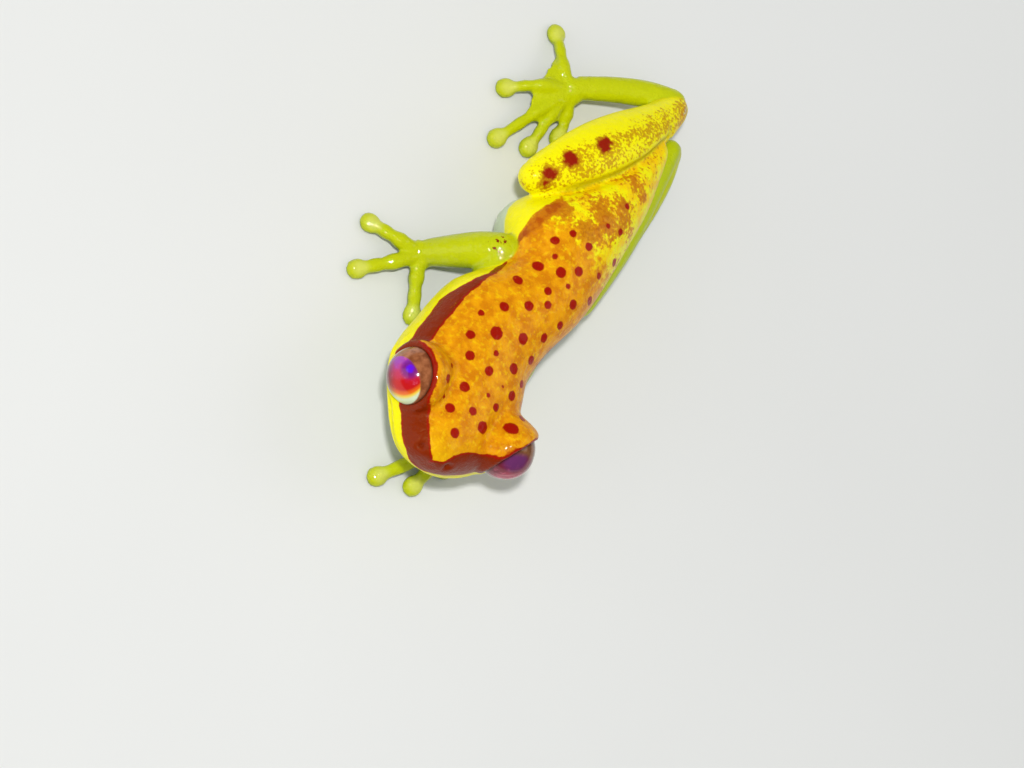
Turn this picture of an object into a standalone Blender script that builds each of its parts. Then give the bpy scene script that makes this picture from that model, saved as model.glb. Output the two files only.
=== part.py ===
"""A red-skirted tree frog crouching on the floor, at life size.

The snout points to -Y, the frog's left is +X, +Z is up and the floor is z = 0.
Named sizes are in millimetres. They become metres where vertices are made.
"""
import math

import bmesh
import bpy
import numpy as np
from mathutils import Matrix, Vector
from mathutils.bvhtree import BVHTree

MM = 0.001
NAME = "tree_frog"
UP = Vector((0, 0, 1))

# Fineness
GAP = 0.3
FINE_VOXEL = 0.13
VOXEL = 0.17
SMOOTH_PASSES = 6
SHARPEST = 1.15
SLIVER = 0.00002
END_SHARE = 0.98

# Head, measured from the middle of the line between the eye centres
EYE_LINE = Vector((-0.3, -9.8, 5.88))
HEAD_YAW = math.radians(9.5)
HEAD_PITCH = math.radians(12.0)
HEAD_ROLL = math.radians(6.0)
NECK_BACK = 4.5
EYE_SPREAD = 3.65
EYE_RADIUS = 1.8
SOCKET_RADIUS = EYE_RADIUS + 0.26
LID_RADIUS = SOCKET_RADIUS + 0.3
LID_EDGE = 0.45
GAZE_OUT = 0.85
GAZE_AHEAD = 0.5
GAZE_UP = 0.14
LIP_HEIGHT = -1.95
LIP_GROOVE = 0.16
LIP_SWELL = 0.07
LIP_BAND = 0.22
MOUTH_BACK = 2.6
MOUTH_FADE = 0.8
NOSTRILS_OUT = (-1.65, 0.55)
NOSTRIL_AHEAD = 3.65
NOSTRIL_UP = 0.08
NOSTRIL_RADIUS = 0.24
NOSTRIL_DEPTH = 0.3

# Head sections: ahead of the eye line, out to the left, half width, crown, widest level, throat,
# squareness
HEAD_SECTIONS = (
    (4.0, -0.6, 0.7, 0.1, -0.4, -1.0, 2.0),
    (3.75, -0.6, 1.35, 0.45, -0.75, -1.75, 2.1),
    (3.2, -0.45, 2.05, 0.75, -1.2, -2.5, 2.1),
    (2.35, -0.2, 2.85, 0.95, -1.55, -2.9, 2.1),
    (1.2, 0.0, 3.65, 1.2, -1.7, -3.2, 2.1),
    (-0.2, 0.0, 4.3, 1.45, -1.75, -3.5, 2.1),
    (-1.7, -0.15, 4.55, 1.75, -1.7, -3.95, 2.1),
    (-3.1, -0.35, 4.3, 2.05, -1.55, -4.15, 2.1),
    (-4.5, -0.45, 3.9, 2.3, -1.15, -4.15, 2.1),
)

# Trunk sections: along Y, middle in X, half width, back, widest level, belly, squareness
TRUNK_SECTIONS = (
    (-3.0, -1.5, 3.55, 7.15, 4.2, 0.7, 2.2),
    (0.0, -0.5, 3.0, 7.05, 4.0, 0.1, 2.2),
    (3.0, -1.15, 3.85, 7.0, 3.1, -0.08, 2.2),
    (6.0, -0.65, 3.05, 6.6, 3.1, 0.2, 2.1),
    (9.0, -0.15, 2.1, 5.8, 3.5, 0.9, 2.1),
    (11.4, -0.1, 1.45, 5.0, 3.6, 1.9, 2.0),
    (12.8, 0.0, 0.85, 4.6, 3.8, 2.9, 2.0),
    (13.5, 0.0, 0.35, 4.25, 3.9, 3.5, 2.0),
)

# Shares of the run of sections where the head ends and where the trunk begins, each past the neck
HEAD_SHARE = 0.62
TRUNK_SHARE = 0.45

# Limb joints
SHOULDER = {"right": Vector((-2.9, -3.5, 2.7)), "left": Vector((1.2, -4.2, 2.6))}
ELBOW = {"right": Vector((-3.87, 0.5, 4.2)), "left": Vector((1.8, -1.5, 1.9))}
WRIST = {"right": Vector((-6.6, -1.8, 1.0)), "left": Vector((2.5, -7.0, 0.9))}
HIP = {"right": Vector((-0.8, 12.1, 2.7)), "left": Vector((0.8, 12.0, 2.7))}
KNEE = {"right": Vector((-5.2, 5.15, 4.55)), "left": Vector((2.4, 2.3, 2.7))}
HEEL = {"right": Vector((-0.3, 16.1, 2.9)), "left": Vector((1.2, 14.2, 2.4))}
ANKLE = {"right": Vector((-5.6, 13.1, 1.4)), "left": Vector((3.0, 8.6, 0.75))}

# Limb half widths and half heights at even steps along each limb
UPPER_ARM = ((1.0, 1.0), (0.95, 0.95), (0.9, 0.9))
FOREARM = ((1.0, 0.95), (1.12, 1.05), (1.0, 0.9), (0.82, 0.7))
THIGH = {
    "right": ((1.4, 1.2), (1.7, 1.3), (1.5, 1.2), (1.0, 1.0)),
    "left": ((1.3, 1.0), (1.5, 0.95), (1.3, 0.9), (0.95, 0.9)),
}
TARSUS = ((0.75, 0.7), (0.85, 0.7), (0.82, 0.65), (0.75, 0.6))
SHANK = {
    "right": ((1.15, 1.05), (1.8, 1.25), (2.05, 1.3), (1.9, 1.2), (1.42, 1.0), (0.92, 0.85)),
    "left": ((0.95, 0.95), (1.05, 1.15), (1.1, 1.2), (1.0, 1.15), (0.85, 0.95), (0.68, 0.72)),
}
THIGH_SAG = {"right": Vector((-0.2, 0.0, -1.5)), "left": Vector((0.35, 0.0, -1.2))}
SHANK_SAG = {"right": Vector((0.3, -0.25, 0.85)), "left": Vector((0.1, 0.0, 0.1))}
LIMB_BOW = Vector((0.0, 0.0, 0.1))
TARSUS_BOW = Vector((0.1, 0.35, 0.1))
HEEL_SPUR = {"right": Vector((-0.3, 0.45, -0.1)), "left": Vector((0.2, 0.2, -0.4))}
LIMB_UP = {"right": Vector((-0.3, -0.4, 0.87)), "left": Vector((0.0, 0.0, 1.0))}

# Fingers and toes: bend and tip of each one, in X and Y, with the height of the bend
FINGERS = {
    "right": (
        (-8.3, -2.4, 0.95, -10.15, -2.65),
        (-7.8, -3.7, 0.9, -9.05, -5.35),
        (-6.0, -3.3, 0.8, -4.67, -4.94),
        (-5.8, -0.7, 0.75, -4.75, 0.5),
    ),
    "left": (
        (2.8, -9.1, 0.8, 2.83, -10.55),
        (2.0, -10.6, 0.85, 1.9, -12.8),
        (1.2, -11.0, 0.9, -0.2, -13.95),
        (1.2, -8.6, 0.75, 0.3, -9.7),
    ),
}
TOES = {
    "right": (
        (-7.1, 13.6, 1.2, -8.4, 15.2),
        (-7.4, 11.6, 1.25, -8.8, 10.2),
        (-6.5, 10.4, 1.05, -7.3, 7.4),
        (-5.7, 10.8, 0.95, -5.4, 8.5),
        (-4.9, 11.6, 0.85, -4.3, 10.4),
    ),
    "left": (
        (3.2, 6.6, 0.75, 3.5, 4.7),
        (3.0, 5.2, 0.8, 3.3, 1.9),
        (2.6, 5.8, 0.75, 2.55, 3.0),
        (2.2, 6.6, 0.7, 1.85, 4.6),
        (2.1, 7.6, 0.65, 1.3, 6.4),
    ),
}
DIGIT_RADIUS = {"hand": 0.45, "foot": 0.38}
DIGIT_TAPER = (1.12, 1.0, 0.9)
DISC_RADIUS = 0.62
DISC_LENGTH = 1.08
DISC_HEIGHT = 0.34
TIP_LEVEL = 0.4
PALM_SHARE = 0.33
PALM_DROP = 0.75
PALM = ((0.75, 0.6), (0.95, 0.6), (0.9, 0.55))
WEB_THICKNESS = 0.55
WEB_REACH = 0.75
WEB_DROP = 0.8
WEB_HOLLOW = 0.35

# Triangles kept on each node
TRIANGLES = {
    "head": 3000, "torso": 1100, "upper_arm": 200, "forearm": 300, "hand": 650,
    "thigh": 300, "shank": 400, "tarsus": 220, "foot": 850,
}

# Colours, roughness
YELLOW_GREEN = (0.58, 0.65, 0.02)
LEMON = (0.85, 0.80, 0.01)
GOLD = (0.68, 0.31, 0.005)
PLUM = (0.30, 0.03, 0.09)
FINISHES = {
    "head": (GOLD, 0.35), "torso": (GOLD, 0.38), "eye": (PLUM, 0.08),
    "upper_arm": (YELLOW_GREEN, 0.35), "forearm": (YELLOW_GREEN, 0.35),
    "hand": (YELLOW_GREEN, 0.35), "thigh": (LEMON, 0.38), "shank": (LEMON, 0.38),
    "tarsus": (LEMON, 0.38), "foot": (YELLOW_GREEN, 0.35),
}


def head_axes():
    """Give the head's left, back and up directions."""
    ahead = Vector((math.sin(HEAD_YAW) * math.cos(HEAD_PITCH),
                    -math.cos(HEAD_YAW) * math.cos(HEAD_PITCH),
                    math.sin(HEAD_PITCH)))
    level = Vector((math.cos(HEAD_YAW), math.sin(HEAD_YAW), 0.0))
    left = level * math.cos(HEAD_ROLL) - level.cross(-ahead) * math.sin(HEAD_ROLL)
    return left, -ahead, left.cross(-ahead)


def head_point(out, ahead, up):
    """Place a point given by its distances out, ahead and up from the eye line."""
    left, back, top = head_axes()
    return EYE_LINE + left * out - back * ahead + top * up


def smooth_rows(rows, steps):
    """Run a smooth curve through rows of numbers, with even steps between them."""
    rows = [np.array(row, dtype=float) for row in rows]
    padded = [2 * rows[0] - rows[1]] + rows + [2 * rows[-1] - rows[-2]]
    curve = []
    for a, b, c, d in zip(padded, padded[1:], padded[2:], padded[3:]):
        for step in range(steps):
            t = step / steps
            curve.append(0.5 * (2 * b + (c - a) * t + (2 * a - 5 * b + 4 * c - d) * t * t
                                + (3 * b - a - 3 * c + d) * t ** 3))
    curve.append(rows[-1])
    return curve


def ring(centre, side, up, width, top, bottom, square, count):
    """Give the points of one cross section, rounder below and above its widest level."""
    points = []
    for index in range(count):
        angle = math.tau * index / count
        across = math.copysign(abs(math.cos(angle)) ** (2 / square), math.cos(angle))
        rise = math.copysign(abs(math.sin(angle)) ** (2 / square), math.sin(angle))
        points.append(centre + side * (width * across) + up * ((top if rise > 0 else bottom) * rise))
    return points


def loft(name, rings):
    """Join unlike cross sections into one closed object."""
    mesh = bmesh.new()
    loops = [[mesh.verts.new(point * MM) for point in points] for points in rings]
    count = len(loops[0])
    for lower, upper in zip(loops, loops[1:]):
        for index in range(count):
            following = (index + 1) % count
            mesh.faces.new((lower[index], lower[following], upper[following], upper[index]))
    mesh.faces.new(loops[0])
    mesh.faces.new(loops[-1])
    bmesh.ops.recalc_face_normals(mesh, faces=mesh.faces)
    return new_object(name, mesh)


def new_object(name, mesh):
    """Make an object of a bmesh and free the bmesh."""
    data = bpy.data.meshes.new(name)
    mesh.to_mesh(data)
    mesh.free()
    item = bpy.data.objects.new(name, data)
    bpy.context.scene.collection.objects.link(item)
    return item


def ball(name, centre, radii, turn=None, segments=20):
    """Make an ellipsoid."""
    mesh = bmesh.new()
    bmesh.ops.create_uvsphere(mesh, u_segments=segments, v_segments=segments // 2, radius=MM)
    shape = (turn or Matrix.Identity(3)).to_4x4() @ Matrix.Diagonal((*radii, 1.0))
    bmesh.ops.transform(mesh, matrix=Matrix.Translation(centre * MM) @ shape, verts=mesh.verts)
    return new_object(name, mesh)


def tube(name, path, sizes, up, count=16, steps=5):
    """Make a limb of oval section that follows a path, with a round end at each joint."""
    rows = smooth_rows([(*point, *size) for point, size in zip(path, sizes)], steps)
    places = [Vector(row[:3]) for row in rows]
    rings = []
    for index, (place, row) in enumerate(zip(places, rows)):
        ahead = places[min(index + 1, len(places) - 1)] - places[max(index - 1, 0)]
        side = ahead.cross(up).normalized()
        top = side.cross(ahead).normalized()
        rings.append(ring(place, side, top, row[3], row[4], row[4], 2.0, count))
    ends = [ball(name + "_end", places[index], (min(rows[index][3:]) * END_SHARE,) * 3)
            for index in (0, -1)]
    return [loft(name, rings)] + ends


def bent(start, end, sag, count):
    """Give points from start to end that bow by sag in the middle."""
    points = []
    for index in range(count):
        t = index / (count - 1)
        points.append(start.lerp(end, t) + sag * (4 * t * (1 - t)))
    return points


def evaluated(item, name):
    """Replace an object by what its modifiers make of it."""
    bpy.context.view_layer.update()
    graph = bpy.context.evaluated_depsgraph_get()
    data = bpy.data.meshes.new_from_object(item.evaluated_get(graph))
    bpy.data.objects.remove(item, do_unlink=True)
    result = bpy.data.objects.new(name, data)
    bpy.context.scene.collection.objects.link(result)
    return result


def combine(base, others, operation, solver="EXACT"):
    """Join or cut one object by others in one Boolean, then remove the others."""
    group = bpy.data.collections.new("operands")
    bpy.context.scene.collection.children.link(group)
    for other in others:
        group.objects.link(other)
    change = base.modifiers.new(operation.lower(), "BOOLEAN")
    change.operand_type = "COLLECTION"
    change.collection = group
    change.operation = operation
    change.solver = solver
    result = evaluated(base, base.name)
    for other in others:
        bpy.data.objects.remove(other, do_unlink=True)
    bpy.data.collections.remove(group)
    return result


def fuse(name, pieces, voxel, solver="EXACT"):
    """Join closed pieces and soften where they meet."""
    item = combine(pieces[0], pieces[1:], "UNION", solver) if len(pieces) > 1 else pieces[0]
    skin = item.modifiers.new("skin", "REMESH")
    skin.mode = "VOXEL"
    skin.voxel_size = voxel * MM
    ease = item.modifiers.new("ease", "SMOOTH")
    ease.factor = 0.5
    ease.iterations = SMOOTH_PASSES
    return largest(evaluated(item, name))


def largest(item):
    """Keep only the largest closed surface of an object."""
    mesh = bmesh.new()
    mesh.from_mesh(item.data)
    unseen = set(mesh.verts)
    bodies = []
    while unseen:
        found = {unseen.pop()}
        edge = list(found)
        while edge:
            near = {link.other_vert(vert) for vert in edge for link in vert.link_edges}
            edge = [vert for vert in near if vert in unseen]
            found.update(edge)
            unseen.difference_update(edge)
        bodies.append(found)
    bodies.sort(key=len)
    bmesh.ops.delete(mesh, geom=[vert for body in bodies[:-1] for vert in body], context="VERTS")
    mesh.to_mesh(item.data)
    mesh.free()
    return item


def thin_out(item, triangles):
    """Lower an object's triangle count to about the number given."""
    item.data.calc_loop_triangles()
    ratio = triangles / max(1, len(item.data.loop_triangles))
    if ratio < 1:
        fewer = item.modifiers.new("fewer", "DECIMATE")
        fewer.ratio = ratio
        fewer.use_collapse_triangulate = True
        item = evaluated(item, item.name)
    return item


def trim(item, point, outward):
    """Cut away what lies beyond a plane and close the cut."""
    mesh = bmesh.new()
    mesh.from_mesh(item.data)
    everything = mesh.verts[:] + mesh.edges[:] + mesh.faces[:]
    bmesh.ops.bisect_plane(mesh, geom=everything, dist=SLIVER * MM, plane_co=point * MM,
                           plane_no=outward, clear_outer=True)
    rim = [edge for edge in mesh.edges if edge.is_boundary]
    bmesh.ops.holes_fill(mesh, edges=rim, sides=0)
    bmesh.ops.triangulate(mesh, faces=mesh.faces)
    mesh.to_mesh(item.data)
    mesh.free()
    return largest(item)


def margin(item):
    """Copy an object with its surface moved out by the gap, to part its neighbours from it."""
    mesh = bmesh.new()
    mesh.from_mesh(item.data)
    mesh.normal_update()
    moves = [(vert, vert.normal * (GAP * MM * min(vert.calc_shell_factor(), SHARPEST)))
             for vert in mesh.verts]
    for vert, move in moves:
        vert.co += move
    return new_object("margin", mesh)


def surface(item):
    """Give an object's surface as a tree that can be searched."""
    item.data.calc_loop_triangles()
    places = [vert.co for vert in item.data.vertices]
    return BVHTree.FromPolygons(places, [tri.vertices for tri in item.data.loop_triangles])


def clear_of(item, margins):
    """Cut an object back so that the gap to each neighbour is kept."""
    near = [other for other in margins if surface(other).overlap(surface(item))]
    copies = []
    for other in near:
        copy = bpy.data.objects.new("copy", other.data.copy())
        bpy.context.scene.collection.objects.link(copy)
        copies.append(copy)
    return largest(combine(item, copies, "DIFFERENCE", "MANIFOLD")) if copies else item


def finish(item, group, kind):
    """Give an object its material and put it in the model's collection."""
    colour, roughness = FINISHES[kind]
    material = bpy.data.materials.get(kind) or bpy.data.materials.new(kind)
    material.use_nodes = True
    shader = material.node_tree.nodes["Principled BSDF"]
    shader.inputs["Base Color"].default_value = (*colour, 1.0)
    shader.inputs["Roughness"].default_value = roughness
    shader.inputs["Metallic"].default_value = 0.0
    item.data.materials.clear()
    item.data.materials.append(material)
    item.data.shade_smooth()
    for home in list(item.users_collection):
        home.objects.unlink(item)
    group.objects.link(item)
    return item


def core_rings(first, last):
    """Give the cross sections of head and trunk between two shares of their length."""
    left, back, top = head_axes()
    rows = []
    for ahead, out, width, crown, level, throat, square in HEAD_SECTIONS:
        centre = head_point(out, ahead, level)
        rows.append((*centre, *left, *top, width, crown - level, level - throat, square))
    for along, middle, width, crown, level, belly, square in TRUNK_SECTIONS:
        centre = Vector((middle, along, level))
        rows.append((*centre, 1.0, 0.0, 0.0, 0.0, 0.0, 1.0, width, crown - level, level - belly, square))
    rows = smooth_rows(rows, 4)
    start, end = round(first * len(rows)), round(last * len(rows))
    return [ring(Vector(row[:3]), Vector(row[3:6]).normalized(), Vector(row[6:9]).normalized(),
                 row[9], row[10], row[11], row[12], 32) for row in rows[start:end]]


def gaze(side):
    """Give the direction in which an eye looks."""
    left, back, top = head_axes()
    return (left * (GAZE_OUT * side) - back * GAZE_AHEAD + top * GAZE_UP).normalized()


def lid(side):
    """Make the lids of one eye as a ball cut off where the eye shows."""
    centre = head_point(EYE_SPREAD * side, 0.0, 0.0)
    item = ball("lid", centre, (LID_RADIUS,) * 3, segments=28)
    return trim(item, centre + gaze(side) * LID_EDGE, gaze(side))


def carve_face(item):
    """Press the line of the mouth and the nostrils into the head, and swell the lips."""
    left, back, top = head_axes()
    nostrils = [head_point(out, NOSTRIL_AHEAD, NOSTRIL_UP) for out in NOSTRILS_OUT]
    mesh = bmesh.new()
    mesh.from_mesh(item.data)
    mesh.normal_update()
    moves = {}
    for vert in mesh.verts:
        place = vert.co / MM - EYE_LINE
        ahead = -place.dot(back)
        height = place.dot(top) - LIP_HEIGHT
        near = max(0.0, min(1.0, (ahead + MOUTH_BACK) / MOUTH_FADE))
        groove = math.exp(-(height / LIP_BAND) ** 2)
        swell = math.exp(-((abs(height) - 2 * LIP_BAND) / LIP_BAND) ** 2)
        move = near * (LIP_SWELL * swell - LIP_GROOVE * groove)
        for nostril in nostrils:
            far = (vert.co / MM - nostril).length / NOSTRIL_RADIUS
            move -= NOSTRIL_DEPTH * math.exp(-far * far)
        moves[vert] = vert.normal * (move * MM)
    for vert, move in moves.items():
        vert.co += move
    mesh.to_mesh(item.data)
    mesh.free()
    return item


def make_head():
    """Make the head with its lids, sockets, lips and nostrils."""
    item = fuse("head", [loft("core", core_rings(0.0, HEAD_SHARE)), lid(-1), lid(1)], FINE_VOXEL)
    item = carve_face(item)
    sockets = [ball("socket", head_point(EYE_SPREAD * side, 0.0, 0.0), (SOCKET_RADIUS,) * 3,
                    segments=24) for side in (-1, 1)]
    item = thin_out(item, TRIANGLES["head"])
    item = combine(item, sockets, "DIFFERENCE")
    left, back, top = head_axes()
    return trim(item, head_point(0.0, GAP / 2 - NECK_BACK, 0.0), back)


def make_torso():
    """Make the trunk from the neck to the vent."""
    item = fuse("torso", [loft("core", core_rings(TRUNK_SHARE, 1.0))], VOXEL)
    left, back, top = head_axes()
    item = thin_out(item, TRIANGLES["torso"])
    item = trim(item, head_point(0.0, -GAP / 2 - NECK_BACK, 0.0), -back)
    return trim(item, Vector(), -UP)


def joint_plane(before, joint, after):
    """Give the direction, across the bend of a joint, that parts its two bones."""
    return ((joint - before).normalized() + (after - joint).normalized()).normalized()


def limb(kind, side, path, sizes, up):
    """Make one bone's length of a limb, round at both ends."""
    return thin_out(fuse(f"{kind}_{side}", tube(kind, path, sizes, up), VOXEL), TRIANGLES[kind])


def digit(radius, root, bend_x, bend_y, bend_z, tip_x, tip_y):
    """Make one finger or toe with the disc at its tip."""
    tip = Vector((tip_x, tip_y, TIP_LEVEL))
    bend = Vector((bend_x, bend_y, bend_z))
    sizes = [(radius * taper,) * 2 for taper in DIGIT_TAPER]
    pieces = tube("digit", (root, bend, tip), sizes, UP, count=10, steps=4)
    turn = Matrix.Rotation(math.atan2(tip_y - bend_y, tip_x - bend_x), 3, "Z")
    disc = ball("disc", Vector((tip_x, tip_y, DISC_HEIGHT)),
                (DISC_RADIUS * DISC_LENGTH, DISC_RADIUS, TIP_LEVEL), turn, 16)
    return pieces + [disc]


def web(root, near, far):
    """Make the thin skin between two toes, hollowed at its free edge."""
    paths = []
    for bend_x, bend_y, bend_z, tip_x, tip_y in (near, far):
        knots = (root, Vector((bend_x, bend_y, bend_z * WEB_DROP)), Vector((tip_x, tip_y, TIP_LEVEL)))
        path = smooth_rows(knots, 6)
        paths.append(path[:round(len(path) * WEB_REACH)])
    rings = []
    for index, (one, other) in enumerate(zip(*paths)):
        middle = (Vector(one) + Vector(other)) / 2
        middle = middle.lerp(root, WEB_HOLLOW * index / len(paths[0]))
        strip = [Vector(one), middle, Vector(other)]
        rings.append([point + UP * (WEB_THICKNESS / 2) for point in strip]
                     + [point - UP * (WEB_THICKNESS / 2) for point in reversed(strip)])
    return loft("web", rings[1:])


def paw(kind, side, joint, before, digits, palm):
    """Make a hand or a foot with its digits and discs, and with webs on a foot."""
    ahead = Vector((sum(row[0] for row in digits), sum(row[1] for row in digits), 0.0)) / len(digits)
    ahead.z = joint.z * PALM_DROP
    root = joint.lerp(ahead, palm)
    pieces = tube("palm", (joint, joint.lerp(root, 0.5), root), PALM, UP)
    for row in digits:
        pieces += digit(DIGIT_RADIUS[kind], root, *row)
    if kind == "foot":
        pieces += [web(root, near, far) for near, far in zip(digits, digits[1:])]
    item = thin_out(fuse(f"{kind}_{side}", pieces, VOXEL, "MANIFOLD"), TRIANGLES[kind])
    item = trim(item, joint + joint_plane(before, joint, root) * (GAP / 2),
                -joint_plane(before, joint, root))
    return trim(item, Vector(), -UP)


def make_arm(side, head_margin):
    """Make upper arm, forearm and hand, and the margins that part the trunk from them."""
    shoulder, elbow, wrist = SHOULDER[side], ELBOW[side], WRIST[side]
    ahead = (wrist - elbow).normalized()
    upper = limb("upper_arm", side, bent(shoulder, elbow, LIMB_BOW, len(UPPER_ARM)), UPPER_ARM, UP)
    fore = limb("forearm", side, bent(elbow, wrist, LIMB_BOW, len(FOREARM)), FOREARM, UP)
    fore = clear_of(trim(fore, wrist - ahead * (GAP / 2), ahead), [head_margin])
    hand = paw("hand", side, wrist, elbow, FINGERS[side], PALM_SHARE)
    margins = [margin(upper), margin(fore)]
    upper = clear_of(upper, margins[1:])
    hand = clear_of(hand, [head_margin] + margins)
    return [(upper, "upper_arm"), (fore, "forearm"), (hand, "hand")], margins


def make_shank(side):
    """Make the shank, which lies over the folded thigh."""
    path = bent(KNEE[side], HEEL[side], SHANK_SAG[side], len(SHANK[side]))
    return limb("shank", side, path, SHANK[side], LIMB_UP[side])


def make_leg(side, shank_margin, trunk_margin):
    """Make thigh, tarsus and foot round a shank."""
    hip, knee, heel, ankle = HIP[side], KNEE[side], HEEL[side], ANKLE[side]
    ahead = (ankle - heel).normalized()
    thigh = limb("thigh", side, bent(hip, knee, THIGH_SAG[side], len(THIGH[side])), THIGH[side], UP)
    path = bent(heel + HEEL_SPUR[side], ankle, TARSUS_BOW, len(TARSUS))
    tarsus = limb("tarsus", side, path, TARSUS, UP)
    tarsus = trim(tarsus, ankle - ahead * (GAP / 2), ahead)
    foot = paw("foot", side, ankle, heel, TOES[side], PALM_SHARE)
    margins = [trunk_margin, shank_margin]
    thigh = clear_of(thigh, margins)
    margins.append(margin(thigh))
    tarsus = clear_of(tarsus, margins)
    foot = clear_of(foot, margins)
    return [(thigh, "thigh"), (tarsus, "tarsus"), (foot, "foot")]


def centre_on_floor(items):
    """Move everything so that the origin is on the floor under the middle of the whole box."""
    places = [vert.co for item in items for vert in item.data.vertices]
    middle = Vector([(min(axis) + max(axis)) / 2 for axis in zip(*places)])
    middle.z = 0.0
    for item in items:
        item.data.transform(Matrix.Translation(-middle))


def main():
    """Build the frog."""
    for item in list(bpy.data.objects):
        bpy.data.objects.remove(item, do_unlink=True)
    group = bpy.data.collections.new(NAME)
    bpy.context.scene.collection.children.link(group)
    head = make_head()
    torso = make_torso()
    trunk_margin = margin(torso)
    arm_right, margins_right = make_arm("right", margin(head))
    arm_left, margins_left = make_arm("left", margin(head))
    shanks = {side: make_shank(side) for side in ("right", "left")}
    shank_margins = {side: margin(shank) for side, shank in shanks.items()}
    torso = clear_of(torso, margins_right + margins_left + [shank_margins["right"]])
    shanks["left"] = clear_of(shanks["left"], [trunk_margin])
    made = [(head, "head"), (torso, "torso")] + arm_right + arm_left
    for side, sign in (("right", -1), ("left", 1)):
        eye = ball(f"eye_{side}", head_point(EYE_SPREAD * sign, 0.0, 0.0), (EYE_RADIUS,) * 3)
        made += [(eye, "eye"), (shanks[side], "shank")]
        made += make_leg(side, shank_margins[side], trunk_margin)
    kept = [item for item, kind in made]
    for item in list(bpy.data.objects):
        if item not in kept:
            bpy.data.objects.remove(item, do_unlink=True)
    centre_on_floor(kept)
    for item, kind in made:
        finish(item, group, kind)


main()
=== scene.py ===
"""The looks of a red-skirted tree frog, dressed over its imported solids.

Sizes are in millimetres in the frog's own frame: the snout points to -Y, the frog's left is +X and the
floor is z = 0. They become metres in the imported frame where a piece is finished.
"""

import logging
import math
from dataclasses import dataclass, field
from enum import Enum

import bmesh
import bpy
import numpy as np
from mathutils import Matrix, Vector


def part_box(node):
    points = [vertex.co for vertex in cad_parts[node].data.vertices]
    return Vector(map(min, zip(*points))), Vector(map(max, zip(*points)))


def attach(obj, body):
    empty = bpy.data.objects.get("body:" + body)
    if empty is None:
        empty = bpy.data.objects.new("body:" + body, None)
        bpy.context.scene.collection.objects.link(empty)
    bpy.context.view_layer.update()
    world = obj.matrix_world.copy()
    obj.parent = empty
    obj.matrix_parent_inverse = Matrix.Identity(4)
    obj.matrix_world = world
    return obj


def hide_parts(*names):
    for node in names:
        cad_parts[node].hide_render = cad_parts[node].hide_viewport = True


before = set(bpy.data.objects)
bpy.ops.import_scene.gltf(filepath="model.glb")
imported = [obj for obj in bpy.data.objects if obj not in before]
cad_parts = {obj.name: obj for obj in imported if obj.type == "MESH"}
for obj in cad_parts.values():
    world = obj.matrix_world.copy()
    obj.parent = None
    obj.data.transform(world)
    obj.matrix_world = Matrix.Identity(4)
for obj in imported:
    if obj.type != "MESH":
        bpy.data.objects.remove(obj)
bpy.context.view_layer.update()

LOG = logging.getLogger("frog")
MM = 0.001
UP = Vector((0.0, 0.0, 1.0))
# The radius of the ball that rounds a tube's end, as a share of the tube's
END_SHARE = 0.98

Row = tuple[float, ...]
Table = tuple[Row, ...]
Array = np.ndarray


class Side(Enum):
    """The frog's two sides, each with the sign of X on it."""

    RIGHT = -1
    LEFT = 1

    @property
    def word(self) -> str:
        """The side's name as the CAD nodes spell it."""
        return self.name.lower()


Places = dict[Side, Vector]
Tables = dict[Side, Table]
Numbers = dict[Side, float]


def pair(right: object, left: object) -> object:
    """Give a dataclass field its value for each side."""
    return field(default_factory=lambda: {Side.RIGHT: right, Side.LEFT: left})


class Region(Enum):
    """The parts of the body whose skin differs in colour."""

    CORE = "core"
    ARM = "arm"
    HAND = "hand"
    THIGH = "thigh"
    SHANK = "shank"
    TARSUS = "tarsus"
    FOOT = "foot"


@dataclass(frozen=True)
class HeadFrame:
    """The head's own directions, from the middle of the line between the eye centres."""

    eye_line: Vector = Vector((-0.3, -9.8, 5.88))
    yaw: float = math.radians(9.5)
    pitch: float = math.radians(12.0)
    roll: float = math.radians(6.0)
    eye_spread: float = 3.65

    @property
    def ahead(self) -> Vector:
        """The direction of the snout."""
        return Vector((math.sin(self.yaw) * math.cos(self.pitch),
                       -math.cos(self.yaw) * math.cos(self.pitch), math.sin(self.pitch)))

    @property
    def left(self) -> Vector:
        """The direction of the head's left."""
        level = Vector((math.cos(self.yaw), math.sin(self.yaw), 0.0))
        return level * math.cos(self.roll) - level.cross(-self.ahead) * math.sin(self.roll)

    @property
    def top(self) -> Vector:
        """The direction of the crown."""
        return self.left.cross(-self.ahead)

    def point(self, out: float, ahead: float, up: float) -> Vector:
        """Place a point on or near the head.

        Args:
            out: distance to the head's left.
            ahead: distance towards the snout.
            up: distance towards the crown.

        Returns:
            The point in the frog's frame.
        """
        return self.eye_line + self.left * out + self.ahead * ahead + self.top * up


HEAD = HeadFrame()
EYES = {side: HEAD.point(HEAD.eye_spread * side.value, 0.0, 0.0) for side in Side}


def packed_shift() -> Vector:
    """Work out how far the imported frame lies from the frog's own frame.

    Returns:
        The shift in millimetres, from the middle of the two packed eyes.
    """
    corners = [Vector(corner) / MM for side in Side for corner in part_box(f"eye_{side.word}")]
    middle = sum(corners, Vector()) / len(corners)
    return middle - sum(EYES.values(), Vector()) / len(EYES)


SHIFT = packed_shift()


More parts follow.
